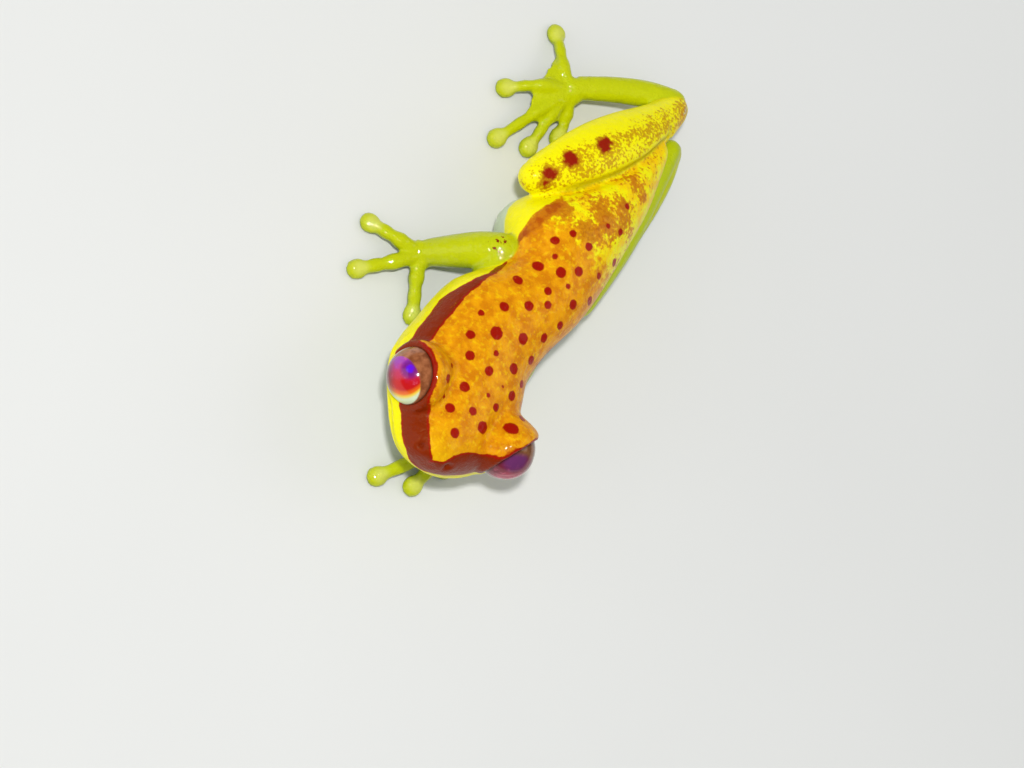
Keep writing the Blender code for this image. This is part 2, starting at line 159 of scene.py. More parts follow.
def smooth_rows(rows: list[Row] | Table, steps: int) -> Array:
    """Run a smooth curve through rows of numbers.

    Args:
        rows: the rows that the curve passes through.
        steps: the even steps between two rows.

    Returns:
        One row per step, as an array.
    """
    given = [np.array(row, dtype=float) for row in rows]
    padded = [2 * given[0] - given[1]] + given + [2 * given[-1] - given[-2]]
    curve = []
    for a, b, c, d in zip(padded, padded[1:], padded[2:], padded[3:]):
        for t in np.arange(steps) / steps:
            curve.append(0.5 * (2 * b + (c - a) * t + (2 * a - 5 * b + 4 * c - d) * t * t
                                + (3 * b - a - 3 * c + d) * t ** 3))
    curve.append(given[-1])
    return np.array(curve)


def bent(start: Vector, end: Vector, sag: Vector, count: int) -> list[Vector]:
    """Give points from start to end that bow by sag in the middle."""
    shares = [index / (count - 1) for index in range(count)]
    return [start.lerp(end, t) + sag * (4 * t * (1 - t)) for t in shares]


def unit(rows: Array) -> Array:
    """Scale each row of an array to a length of one."""
    return rows / np.linalg.norm(rows, axis=1, keepdims=True)


def ramp(low: float, high: float, values: Array) -> Array:
    """Rise smoothly from 0 at low to 1 at high."""
    share = np.clip((values - low) / (high - low), 0.0, 1.0)
    return share * share * (3 - 2 * share)


def hump(values: Array, middle: float, width: float) -> Array:
    """Give a soft bump of height one round a middle value."""
    return np.exp(-((values - middle) / width) ** 2)


def apart(points: Array, centre: Row | Vector) -> Array:
    """Say how far points lie from a place, in as many directions as it has."""
    return np.linalg.norm(points[:, :len(centre)] - np.array(centre), axis=1)


def along(points: Array, origin: Vector, direction: Vector) -> Array:
    """Say how far points lie from a place in one direction."""
    return (points - np.array(origin)) @ np.array(direction)


def follow(table: Table, station: Array) -> Array:
    """Read a table of section and value at each station."""
    return np.interp(station, *np.array(table).T)


def outside(rows: Array, points: Array) -> Array:
    """Say how far points lie outside a tube whose rows are place, half width and half height."""
    reach = np.linalg.norm(points[:, None, :] - rows[None, :, :3], axis=2)
    return (reach - rows[:, 3:5].mean(1)).min(1)


class Clay:
    """Closed shapes gathered in one mesh, in millimetres."""

    def __init__(self) -> None:
        """Start with nothing."""
        self.mesh = bmesh.new()

    def take(self, shape: bmesh.types.BMesh) -> None:
        """Add a shape that was built on its own, which keeps each operator quick."""
        bmesh.ops.recalc_face_normals(shape, faces=shape.faces)
        data = bpy.data.meshes.new("shape")
        shape.to_mesh(data)
        shape.free()
        self.mesh.from_mesh(data)
        bpy.data.meshes.remove(data)

    def loft(self, rings: list[list[Vector]]) -> None:
        """Carry a round loop through a run of cross sections and close both ends.

        Args:
            rings: the points of each section, all of one count.
        """
        shape = bmesh.new()
        first = bmesh.ops.create_circle(shape, cap_ends=True, segments=len(rings[0]), radius=1.0)["verts"]
        loop = sorted(first, key=lambda vert: math.atan2(vert.co.y, vert.co.x) % math.tau)
        for vert, place in zip(loop, rings[0]):
            vert.co = place
        for points in rings[1:]:
            edges = [shape.edges.get(ends) for ends in zip(loop, loop[1:] + loop[:1])]
            made = bmesh.ops.extrude_edge_only(shape, edges=edges)["geom"]
            new = {item for item in made if isinstance(item, bmesh.types.BMVert)}
            loop = [next(edge.other_vert(vert) for edge in vert.link_edges
                         if edge.other_vert(vert) in new) for vert in loop]
            for vert, place in zip(loop, points):
                vert.co = place
        rim = [shape.edges.get(ends) for ends in zip(loop, loop[1:] + loop[:1])]
        bmesh.ops.holes_fill(shape, edges=rim, sides=0)
        self.take(shape)

    def ball(self, centre: Vector, radii: Row, turn: Matrix | None = None) -> None:
        """Add an ellipsoid.

        Args:
            centre: its middle.
            radii: its three half sizes.
            turn: how its axes are turned.
        """
        form = (turn or Matrix.Identity(3)).to_4x4() @ Matrix.Diagonal((*radii, 1.0))
        shape = bmesh.new()
        bmesh.ops.create_uvsphere(shape, u_segments=24, v_segments=12, radius=1.0,
                                  matrix=Matrix.Translation(centre) @ form)
        self.take(shape)

    def cap(self, centre: Vector, radius: float, outward: Vector, reach: float) -> None:
        """Add a ball cut off by a plane, as a lid is round an eye.

        Args:
            centre: the ball's middle.
            radius: its radius.
            outward: the direction of the cut end.
            reach: how far along it the cut lies.
        """
        shape = bmesh.new()
        bmesh.ops.create_uvsphere(shape, u_segments=48, v_segments=24, radius=radius,
                                  matrix=Matrix.Translation(centre))
        bmesh.ops.bisect_plane(shape, geom=shape.verts[:] + shape.edges[:] + shape.faces[:], dist=1e-5,
                               plane_co=centre + outward * reach, plane_no=outward, clear_outer=True)
        bmesh.ops.holes_fill(shape, edges=[edge for edge in shape.edges if edge.is_boundary], sides=0)
        self.take(shape)

    def hoop(self, centre: Vector, axis: Vector, radius: float, thickness: float) -> None:
        """Add a ring of round section.

        Args:
            centre: its middle.
            axis: the direction that it goes round.
            radius: the radius of its middle line.
            thickness: the radius of its section.
        """
        shape = bmesh.new()
        section = Matrix.Translation((radius, 0.0, 0.0)) @ Matrix.Rotation(math.pi / 2, 4, "X")
        bmesh.ops.create_circle(shape, segments=12, radius=thickness, matrix=section)
        bmesh.ops.spin(shape, geom=shape.verts[:] + shape.edges[:], cent=(0, 0, 0), axis=(0, 0, 1),
                       angle=math.tau, steps=48, use_merge=True)
        place = Matrix.Translation(centre) @ axis.to_track_quat("Z", "Y").to_matrix().to_4x4()
        bmesh.ops.transform(shape, matrix=place, verts=shape.verts)
        self.take(shape)

    def tube(self, rows: Array, up: Vector, count: int = 20) -> None:
        """Add a limb of oval section that follows a path, round at both ends.

        Args:
            rows: place, half width and half height at each step.
            up: the direction of the half height.
            count: the points round each section.
        """
        places = [Vector(row[:3]) for row in rows]
        rings = []
        for index, (place, row) in enumerate(zip(places, rows)):
            ahead = places[min(index + 1, len(places) - 1)] - places[max(index - 1, 0)]
            side = ahead.cross(up).normalized()
            top = side.cross(ahead).normalized()
            rings.append(oval(place, side, top, (row[3], row[4], row[4], 2.0), count))
        self.loft(rings)
        for index in (0, -1):
            self.ball(places[index], (min(rows[index][3:]) * END_SHARE,) * 3)


def oval(centre: Vector, side: Vector, top: Vector, sizes: Row, count: int) -> list[Vector]:
    """Give the points of one cross section.

    Args:
        centre: its middle at its widest level.
        side: the direction of its width.
        top: the direction of its height.
        sizes: half width, height above, height below and squareness.
        count: the points round it.

    Returns:
        The points in order.
    """
    width, above, below, square = sizes
    points = []
    for angle in np.arange(count) * math.tau / count:
        across = math.copysign(abs(math.cos(angle)) ** (2 / square), math.cos(angle))
        rise = math.copysign(abs(math.sin(angle)) ** (2 / square), math.sin(angle))
        points.append(centre + side * (width * across) + top * ((above if rise > 0 else below) * rise))
    return points


@dataclass
class Core:
    """Head and trunk in one run of cross sections."""

    # Ahead of the eye line, out to the left, half width, crown, widest level, throat, squareness
    head: Table = (
        (4.0, -0.6, 0.7, 0.1, -0.4, -1.0, 2.0),
        (3.75, -0.6, 1.35, 0.45, -0.75, -1.75, 2.1),
        (3.2, -0.45, 2.05, 0.75, -1.2, -2.5, 2.1),
        (2.35, -0.2, 2.85, 0.95, -1.55, -2.9, 2.1),
        (1.2, 0.0, 3.65, 1.2, -1.7, -3.2, 2.1),
        (-0.2, 0.0, 4.3, 1.45, -1.75, -3.5, 2.1),
        (-1.7, -0.15, 4.55, 1.75, -1.7, -3.95, 2.1),
        (-3.1, -0.35, 4.3, 2.05, -1.55, -4.15, 2.1),
        (-4.5, -0.45, 3.9, 2.3, -1.15, -4.15, 2.1),
    )
    # Along Y, middle in X, half width, back, widest level, belly, squareness
    trunk: Table = (
        (-3.0, -1.5, 3.55, 7.15, 4.2, 0.7, 2.2),
        (0.0, -0.5, 3.0, 7.05, 4.0, 0.1, 2.2),
        (3.0, -1.15, 3.85, 7.0, 3.1, -0.08, 2.2),
        (6.0, -0.65, 3.05, 6.6, 3.1, 0.2, 2.1),
        (9.0, -0.15, 2.1, 5.8, 3.5, 0.9, 2.1),
        (11.4, -0.1, 1.45, 5.0, 3.6, 1.9, 2.0),
        (12.8, 0.0, 0.85, 4.6, 3.8, 2.9, 2.0),
        (13.5, 0.0, 0.35, 4.25, 3.9, 3.5, 2.0),
    )
    steps: int = 4
    count: int = 48

    def __post_init__(self) -> None:
        """Work out the smooth run of sections."""
        rows = []
        for ahead, out, width, crown, level, throat, square in self.head:
            centre = HEAD.point(out, ahead, level)
            rows.append((*centre, *HEAD.left, *HEAD.top, width, crown - level, level - throat, square))
        for along, middle, width, crown, level, belly, square in self.trunk:
            rows.append((middle, along, level, 1.0, 0.0, 0.0, 0.0, 0.0, 1.0,
                         width, crown - level, level - belly, square))
        self.rows = smooth_rows(rows, self.steps)

    def build(self, clay: Clay) -> None:
        """Add head and trunk to the clay."""
        rings = []
        for row in self.rows:
            side, top = Vector(row[3:6]).normalized(), Vector(row[6:9]).normalized()
            rings.append(oval(Vector(row[:3]), side, top, tuple(row[9:13]), self.count))
        clay.loft(rings)

    def chart(self, points: Array) -> tuple[Array, Array, Array, Array]:
        """Say where points lie on the body.

        Args:
            points: places in the frog's frame.

        Returns:
            The section number, the angle from the middle of the back in degrees (right is negative),
            the distance from the core line as a share of the section, and the section's mean radius.
        """
        centre, side, top = self.rows[:, :3], unit(self.rows[:, 3:6]), unit(self.rows[:, 6:9])
        axis = np.cross(top, side)
        height = points @ axis.T - (centre * axis).sum(1)
        nearest = np.abs(height).argmin(1)
        index = np.arange(len(points))
        last = len(self.rows) - 1
        station = nearest.astype(float)
        for step in (1, -1):
            other = np.clip(nearest + step, 0, last)
            here, there = height[index, nearest], height[index, other]
            crosses = (here * there < 0) & (other != nearest)
            share = np.abs(here) / np.maximum(np.abs(here) + np.abs(there), 1e-9)
            station = np.where(crosses, nearest + step * share, station)
        low = np.floor(station).astype(int)
        high = np.minimum(low + 1, last)
        share = (station - low)[:, None]
        row = self.rows[low] * (1 - share) + self.rows[high] * share
        away = points - row[:, :3]
        across = (away * unit(row[:, 3:6])).sum(1) / row[:, 9]
        rise = (away * unit(row[:, 6:9])).sum(1)
        rise = np.where(rise > 0, rise / row[:, 10], rise / row[:, 11])
        angle = np.degrees(np.arctan2(across, rise))
        return station, angle, np.hypot(across, rise), (row[:, 9] + row[:, 10]) / 2


@dataclass
class Limb:
    """One length of a limb."""

    region: Region
    side: Side
    path: list[Vector]
    sizes: Table
    up: Vector = UP
    steps: int = 6

    def __post_init__(self) -> None:
        """Work out the smooth path with its sizes."""
        self.rows = smooth_rows([(*place, *size) for place, size in zip(self.path, self.sizes)], self.steps)

    def build(self, clay: Clay) -> None:
        """Add the limb to the clay."""
        clay.tube(self.rows, self.up)

    def distance(self, points: Array) -> Array:
        """Say how far points lie outside the limb."""
        return outside(self.rows, points)

    def chart(self, points: Array, outward: Array) -> tuple[Array, Array]:
        """Say where points lie on the limb.

        Args:
            points: places in the frog's frame.
            outward: a direction across the limb.

        Returns:
            The share of the length from the start, and how far a point faces outward, from -1 to 1.
        """
        places = self.rows[:, :3]
        nearest = np.linalg.norm(points[:, None, :] - places[None], axis=2).argmin(1)
        away = points - places[nearest]
        ahead = unit(np.gradient(places, axis=0))[nearest]
        away -= ahead * (away * ahead).sum(1, keepdims=True)
        return nearest / (len(places) - 1), unit(away + 1e-9) @ outward


@dataclass
class Paw:
    """A hand or a foot, with its digits, discs and webs."""

    region: Region
    side: Side
    joint: Vector
    digits: Table
    disc_radius: float = 0.62
    disc_height: float = 0.34
    tip_level: float = 0.4
    palm_share: float = 0.33
    palm: Table = ((0.75, 0.6), (0.95, 0.6), (0.9, 0.55))
    # A digit's size at its root and what it loses to the tip; place, width and height of each swelling
    taper: Row = (1.14, 0.28)
    knuckles: Table = ((0.5, 0.09, 0.16), (0.76, 0.06, 0.1), (0.64, 0.07, -0.1))
    flatness: float = 0.94
    web_thickness: float = 0.4
    web_reach: float = 0.75
    web_hollow: float = 0.35
    digit_radius: dict[Region, float] = field(default_factory=lambda: {Region.HAND: 0.45, Region.FOOT: 0.38})

    def __post_init__(self) -> None:
        """Work out the paths of the palm and the digits."""
        ahead = Vector((sum(row[0] for row in self.digits), sum(row[1] for row in self.digits), 0.0))
        ahead /= len(self.digits)
        ahead.z = self.joint.z * 0.75
        self.root = self.joint.lerp(ahead, self.palm_share)
        path = (self.joint, self.joint.lerp(self.root, 0.5), self.root)
        self.rows = [smooth_rows([(*place, *size) for place, size in zip(path, self.palm)], 6)]
        self.rows += [self.digit_rows(row) for row in self.digits]

    def digit_rows(self, digit: Row) -> Array:
        """Give one digit's path, thicker at its joints.

        Args:
            digit: X, Y and Z of its bend, and X and Y of its tip.

        Returns:
            Place, half width and half height at each step.
        """
        bend, tip = Vector(digit[:3]), Vector((*digit[3:], self.tip_level))
        rows = smooth_rows((self.root, bend, tip), 10)
        share = np.linspace(0.0, 1.0, len(rows))
        thick, loss = self.taper
        swelling = 1.0
        for place, width, height in self.knuckles:
            swelling = swelling + height * hump(share, place, width)
        size = self.digit_radius[self.region] * (thick - loss * share) * swelling
        return np.column_stack((rows, size, size * self.flatness))

    def build(self, clay: Clay) -> None:
        """Add palm, digits, discs and webs to the clay."""
        for rows in self.rows:
            clay.tube(rows, UP, 16)
        for bend_x, bend_y, _, tip_x, tip_y in self.digits:
            turn = Matrix.Rotation(math.atan2(tip_y - bend_y, tip_x - bend_x), 3, "Z")
            centre = Vector((tip_x, tip_y, self.disc_height))
            size = (self.disc_radius * 1.08, self.disc_radius, self.disc_height * 1.12)
            clay.ball(centre, size, turn)
            pad = centre + turn @ Vector((self.disc_radius * 0.18, 0.0, -self.disc_height * 0.45))
            clay.ball(pad, (size[0] * 0.98, size[1] * 1.04, size[2] * 0.5), turn)
        if self.region is Region.FOOT:
            for near, far in zip(self.rows[1:], self.rows[2:]):
                self.build_web(clay, near, far)

    def build_web(self, clay: Clay, near: Array, far: Array) -> None:
        """Add the thin skin between two toes, hollowed at its free edge.

        Args:
            clay: the clay it joins.
            near: the first toe's path.
            far: the second toe's path.
        """
        count = round(len(near) * self.web_reach)
        rings = []
        for index in range(1, count):
            one, other = Vector(near[index][:3]), Vector(far[index][:3])
            middle = ((one + other) / 2).lerp(self.root, self.web_hollow * index / count)
            strip = [one, one.lerp(middle, 0.5), middle, middle.lerp(other, 0.5), other]
            half = UP * (self.web_thickness / 2)
            rings.append([point + half for point in strip] + [point - half for point in reversed(strip)])
        clay.loft(rings)

    def tip_distance(self, points: Array) -> Array:
        """Say how far points lie from the top of the nearest disc."""
        tips = np.array([(*row[3:5], 2 * self.disc_height) for row in self.digits])
        return np.linalg.norm(points[:, None, :] - tips[None], axis=2).min(1)

    def distance(self, points: Array) -> Array:
        """Say how far points lie outside the palm and digits."""
        return outside(np.concatenate(self.rows), points)


@dataclass
class Frog:
    """The frog's limbs and their places."""

    shoulder: Places = pair(Vector((-2.9, -3.5, 2.7)), Vector((1.2, -4.2, 2.6)))
    elbow: Places = pair(Vector((-3.87, 0.5, 4.2)), Vector((1.8, -1.5, 1.9)))
    wrist: Places = pair(Vector((-6.6, -1.8, 1.0)), Vector((2.5, -7.0, 0.9)))
    hip: Places = pair(Vector((-0.8, 12.1, 2.7)), Vector((0.8, 12.0, 2.7)))
    knee: Places = pair(Vector((-5.2, 5.15, 4.55)), Vector((2.4, 2.3, 2.7)))
    heel: Places = pair(Vector((-0.3, 16.1, 2.9)), Vector((1.2, 14.2, 2.4)))
    ankle: Places = pair(Vector((-5.6, 13.1, 1.4)), Vector((3.0, 8.6, 0.75)))
    upper_arm: Table = ((1.0, 1.0), (0.95, 0.95), (0.9, 0.9))
    forearm: Table = ((1.0, 0.95), (1.12, 1.05), (1.0, 0.9), (0.82, 0.7))
    tarsus: Table = ((0.75, 0.7), (0.85, 0.7), (0.82, 0.65), (0.75, 0.6))
    thigh: Tables = pair(
        ((1.4, 1.2), (1.7, 1.3), (1.5, 1.2), (1.0, 1.0)),
        ((1.3, 1.0), (1.5, 0.95), (1.3, 0.9), (0.95, 0.9)))
    shank: Tables = pair(
        ((1.15, 1.05), (1.8, 1.25), (2.05, 1.3), (1.9, 1.2), (1.42, 1.0), (0.92, 0.85)),
        ((0.95, 0.95), (1.05, 1.15), (1.1, 1.2), (1.0, 1.15), (0.85, 0.95), (0.68, 0.72)))
    thigh_sag: Places = pair(Vector((-0.2, 0.0, -1.5)), Vector((0.35, 0.0, -1.2)))
    shank_sag: Places = pair(Vector((0.3, -0.25, 0.85)), Vector((0.1, 0.0, 0.1)))
    limb_bow: Vector = Vector((0.0, 0.0, 0.1))
    tarsus_bow: Vector = Vector((0.1, 0.35, 0.1))
    heel_spur: Places = pair(Vector((-0.3, 0.45, -0.1)), Vector((0.2, 0.2, -0.4)))
    shank_up: Places = pair(Vector((-0.3, -0.4, 0.87)), Vector((0.0, 0.0, 1.0)))
    # X, Y and Z of each digit's bend, and X and Y of its tip
    fingers: Tables = pair(
        ((-8.3, -2.4, 0.95, -10.15, -2.65), (-7.8, -3.7, 0.9, -9.05, -5.35),
         (-6.0, -3.3, 0.8, -4.67, -4.94), (-5.8, -0.7, 0.75, -4.75, 0.5)),
        ((2.8, -9.1, 0.8, 2.83, -10.55), (2.0, -10.6, 0.85, 1.9, -12.8),
         (1.2, -11.0, 0.9, -0.2, -13.95), (1.2, -8.6, 0.75, 0.3, -9.7)))
    toes: Tables = pair(
        ((-7.1, 13.6, 1.2, -8.4, 15.2), (-7.4, 11.6, 1.25, -8.8, 10.2), (-6.5, 10.4, 1.05, -7.3, 7.4),
         (-5.7, 10.8, 0.95, -5.4, 8.5), (-4.9, 11.6, 0.85, -4.3, 10.4)),
        ((3.2, 6.6, 0.75, 3.5, 4.7), (3.0, 5.2, 0.8, 3.3, 1.9), (2.6, 5.8, 0.75, 2.55, 3.0),
         (2.2, 6.6, 0.7, 1.85, 4.6), (2.1, 7.6, 0.65, 1.3, 6.4)))

    def limbs(self, side: Side) -> list[Limb | Paw]:
        """Give the limbs of one side, from the shoulder to the toes."""
        shoulder, elbow, wrist = self.shoulder[side], self.elbow[side], self.wrist[side]
        hip, knee, heel, ankle = self.hip[side], self.knee[side], self.heel[side], self.ankle[side]
        bow = self.limb_bow
        shank = self.shank[side]
        return [
            Limb(Region.ARM, side, bent(shoulder, elbow, bow, 3), self.upper_arm),
            Limb(Region.ARM, side, bent(elbow, wrist, bow, 4), self.forearm),
            Paw(Region.HAND, side, wrist, self.fingers[side]),
            Limb(Region.THIGH, side, bent(hip, knee, self.thigh_sag[side], 4), self.thigh[side]),
            Limb(Region.SHANK, side, bent(knee, heel, self.shank_sag[side], len(shank)), shank,
                 self.shank_up[side]),
            Limb(Region.TARSUS, side, bent(heel + self.heel_spur[side], ankle, self.tarsus_bow, 4),
                 self.tarsus),
            Paw(Region.FOOT, side, ankle, self.toes[side]),
        ]


@dataclass
class Lids:
    """The lids round the two eyes."""

    eye_radius: float = 1.8
    lid_radius: float = 2.16
    edge: float = 0.45
    rim_radius: float = 1.86
    rim_thickness: float = 0.2
    out: float = 0.85
    ahead: float = 0.5
    up: float = 0.14

    def gaze(self, side: Side) -> Vector:
        """Give the direction in which an eye looks."""
        look = HEAD.left * (self.out * side.value) + HEAD.ahead * self.ahead + HEAD.top * self.up
        return look.normalized()

    def build(self, clay: Clay) -> None:
        """Add both lids to the clay."""
        for side in Side:
            look = self.gaze(side)
            clay.cap(EYES[side], self.lid_radius, look, self.edge)
            clay.hoop(EYES[side] + look * (self.edge - 0.08), look, self.rim_radius, self.rim_thickness)


@dataclass
class Carving:
    """The fine forms pressed into the skin: lips, nostrils, brow grooves and folds."""

    lip_height: float = -1.95
    lip_band: float = 0.2
    lip_groove: float = 0.16
    lip_swell: float = 0.07
    nostril_out: Numbers = pair(-1.65, 0.55)
    nostril_ahead: float = 3.65
    nostril_up: float = 0.08
    nostril_radius: float = 0.22
    nostril_depth: float = 0.3
    brow_out: float = 1.9
    brow_depth: float = 0.3
    fold_depth: float = 0.3
    fold_width: float = 0.4

    def press(self, places: Array, normals: Array, beside: Array, folded: Array) -> Array:
        """Move the skin's points along their normals.

        Args:
            places: the points.
            normals: their normals.
            beside: how much nearer each point is to the right shank than to what it lies against.
            folded: the share of a fold there.

        Returns:
            The points after the move.
        """
        out, ahead, up = (along(places, HEAD.eye_line, way) for way in (HEAD.left, HEAD.ahead, HEAD.top))
        on_head = ramp(-5.0, -4.0, ahead)
        height = up - self.lip_height
        near = ramp(-2.8, -1.8, ahead)
        move = near * (self.lip_swell * hump(np.abs(height), 2 * self.lip_band, self.lip_band)
                       - self.lip_groove * hump(height, 0.0, self.lip_band))
        for side in Side:
            nostril = HEAD.point(self.nostril_out[side], self.nostril_ahead, self.nostril_up)
            move -= self.nostril_depth * hump(apart(places, nostril), 0.0, self.nostril_radius)
            groove = hump(out * side.value, self.brow_out, 0.5) * hump(ahead, -0.1, 1.3)
            move -= self.brow_depth * groove * ramp(0.5, 1.1, up) * on_head
        move -= self.fold_depth * hump(beside, 0.0, self.fold_width) * folded
        return places + normals * move[:, None]


@dataclass
class Markings:
    """Where the skin's colours lie. Angles are in degrees from the middle of the back."""

    core: Core
    # Section, angle where the gold of the back ends, on each side
    gold_ends: Tables = pair(
        ((0.0, -2.0), (3.0, 14.0), (6.4, 27.0), (10.4, 35.0), (13.5, 39.0), (18.0, 38.0), (21.1, 43.0),
         (23.7, 55.0), (26.6, 54.0), (31.5, 54.0), (34.0, 52.0), (35.6, 48.0), (37.6, 54.0),
         (39.8, 73.0), (41.0, 68.0), (42.0, 54.0), (43.0, 40.0), (44.7, 33.0), (46.6, 37.0),
         (50.0, 50.0)),
        ((0.0, -2.0), (0.8, 1.0), (2.5, 17.0), (4.0, 23.0), (6.2, 21.0), (8.3, 19.0), (11.1, 23.0),
         (12.7, 28.0), (14.2, 39.0), (15.1, 38.0), (17.0, 34.0), (21.0, 42.0), (26.1, 54.0),
         (31.6, 56.0), (36.0, 66.0), (44.0, 70.0), (49.0, 70.0)))
    # Section, angle where the lemon stripe begins, on each side
    lemon_starts: Tables = pair(
        ((20.0, 84.0), (24.0, 80.0), (26.0, 75.0), (30.4, 76.0), (33.4, 79.0), (34.6, 68.0),
         (35.6, 61.0), (37.2, 59.0), (38.7, 74.0), (41.1, 70.0), (41.9, 65.0), (42.8, 56.0),
         (44.1, 49.0), (45.4, 47.0), (47.0, 50.0)),
        ((20.0, 84.0), (26.0, 78.0), (31.0, 76.0), (36.0, 76.0), (40.0, 80.0), (44.0, 76.0),
         (49.0, 74.0), (53.0, 72.0)))
    # Section, angle where the pale belly begins
    pale_starts: Table = ((0.0, 150.0), (8.0, 130.0), (20.0, 118.0), (30.0, 112.0),
                          (38.0, 104.0), (42.0, 88.0), (45.0, 84.0), (48.0, 90.0),
                          (54.0, 125.0), (64.0, 150.0))
    # Section, height over the eye line where the lemon of the lips begins
    lip_edges: Table = ((0.0, -1.7), (2.0, -1.5), (3.8, -1.0), (14.4, -1.0))
    throat_height: float = -2.5
    ring_width: float = 0.2
    rump_start: float = 46.5
    # Sections between which the face, the rump, the torn patch and the paler snout fade in
    face_fade: Row = (25.0, 21.0)
    rump_fade: Row = (40.0, 49.0)
    patch_fade: Row = (40.5, 43.0)
    snout_fade: Row = (16.0, 5.0)
    # Half the width over which one region's colour turns to the next one's, and the spots' least height
    limb_blur: float = 0.14
    spot_floor: float = 4.5
    elbow_top: Row = (-4.5, 0.4, 4.7)
    # X, Y and radius of each spot on the back
    spots: Table = (
        (-0.32, -11.64, 0.31), (0.9, -10.03, 0.38), (2.31, -8.83, 0.38), (2.63, -7.65, 0.2),
        (-1.45, -10.68, 0.3), (-0.25, -9.83, 0.27), (0.85, -8.47, 0.26), (-0.07, -8.38, 0.15),
        (1.29, -7.08, 0.3), (0.37, -7.24, 0.1), (1.45, -5.93, 0.24), (-1.52, -9.07, 0.31),
        (-2.84, -9.78, 0.26), (-3.01, -8.79, 0.17), (-2.19, -10.45, 0.13), (-2.42, -7.41, 0.3),
        (-1.28, -6.15, 0.2), (-0.95, -7.28, 0.3), (0.27, -5.88, 0.34), (1.0, -4.41, 0.27),
        (-2.0, -5.2, 0.41), (-3.14, -6.38, 0.28), (-0.43, -4.14, 0.35), (0.71, -2.93, 0.28),
        (-3.41, -4.85, 0.2), (-2.57, -3.56, 0.31), (-1.4, -2.4, 0.32), (-0.49, -1.45, 0.26),
        (0.81, -0.11, 0.3), (1.04, -1.57, 0.25), (-1.01, -0.8, 0.26), (-0.19, 0.38, 0.18),
        (-2.77, -1.5, 0.3), (-1.06, 0.7, 0.34), (-0.21, 1.59, 0.31), (1.14, 2.63, 0.21),
        (-2.28, 0.12, 0.32), (-1.91, 1.23, 0.18), (-0.63, 3.25, 0.27), (-2.48, 2.02, 0.27),
        (-1.91, 3.11, 0.24), (-0.39, 5.26, 0.17), (0.56, 5.73, 0.22), (-0.04, 7.35, 0.2),
        (1.75, 1.2, 0.27), (1.6, 4.3, 0.24), (2.4, -2.6, 0.22), (2.2, -5.2, 0.25), (2.9, -6.2, 0.2),
    )
    # X, Y and radius of each warm stain on the rump
    stains: Table = (
        (-1.0, 5.5, 1.1), (0.1, 6.2, 0.9), (-0.45, 9.2, 0.75), (-1.1, 4.0, 1.0), (0.7, 8.9, 0.5),
        (-0.3, 7.3, 0.7), (-3.0, 4.3, 0.7))
    # The way the speckled side of the right shank faces
    speckled: Row = (0.1, -0.3, 0.95)
    # X, Y, Z and radius of each blotch on the right shank
    blotches: Table = (
        (-4.96, 5.44, 5.67, 0.44), (-4.53, 7.01, 5.92, 0.5), (-3.41, 9.3, 5.96, 0.5),
        (-4.67, 4.81, 5.42, 0.26))

    def stripes(self, places: Array, chart: tuple[Array, ...], lids: Lids) -> dict[str, Array]:
        """Work out the band, the lemon stripe and the pale belly.

        Args:
            places: the skin's points.
            chart: their places on the body.
            lids: the lids, whose rims the band goes round.

        Returns:
            How far each point lies inside each of them, in millimetres.
        """
        station, angle, _, radius = chart
        turn, arc = np.abs(angle), radius * math.pi / 180
        ends = {side: follow(self.gold_ends[side], station) for side in Side}
        starts = {side: follow(self.lemon_starts[side], station) for side in Side}
        beyond_gold = np.maximum(angle - ends[Side.LEFT], -angle - ends[Side.RIGHT]) * arc
        lemon = (turn - np.where(angle < 0, starts[Side.RIGHT], starts[Side.LEFT])) * arc
        up = along(places, HEAD.eye_line, HEAD.top)
        on_face = ramp(*self.face_fade, station)
        lips = follow(self.lip_edges, station)
        lemon = lemon * (1 - on_face) + (lips - up) * on_face
        band = np.minimum(beyond_gold, -lemon)
        for side in Side:
            look = np.array(lids.gaze(side))
            depth = along(places, EYES[side], look)
            reach = apart(places - depth[:, None] * look, EYES[side])
            ring = self.ring_width - np.hypot(reach - lids.rim_radius, depth - lids.edge)
            band = np.maximum(band, np.where(up > lips, ring, -1.0))
        pale = (turn - follow(self.pale_starts, station)) * arc
        pale = pale * (1 - on_face) + (self.throat_height - up) * on_face
        ahead_of_rump = (self.rump_start - station) * 0.25
        return {"band": np.minimum(band, ahead_of_rump), "pale": pale,
                "lemon": np.minimum(lemon, ahead_of_rump + np.where(angle > 0, 3.0, 0.0))}

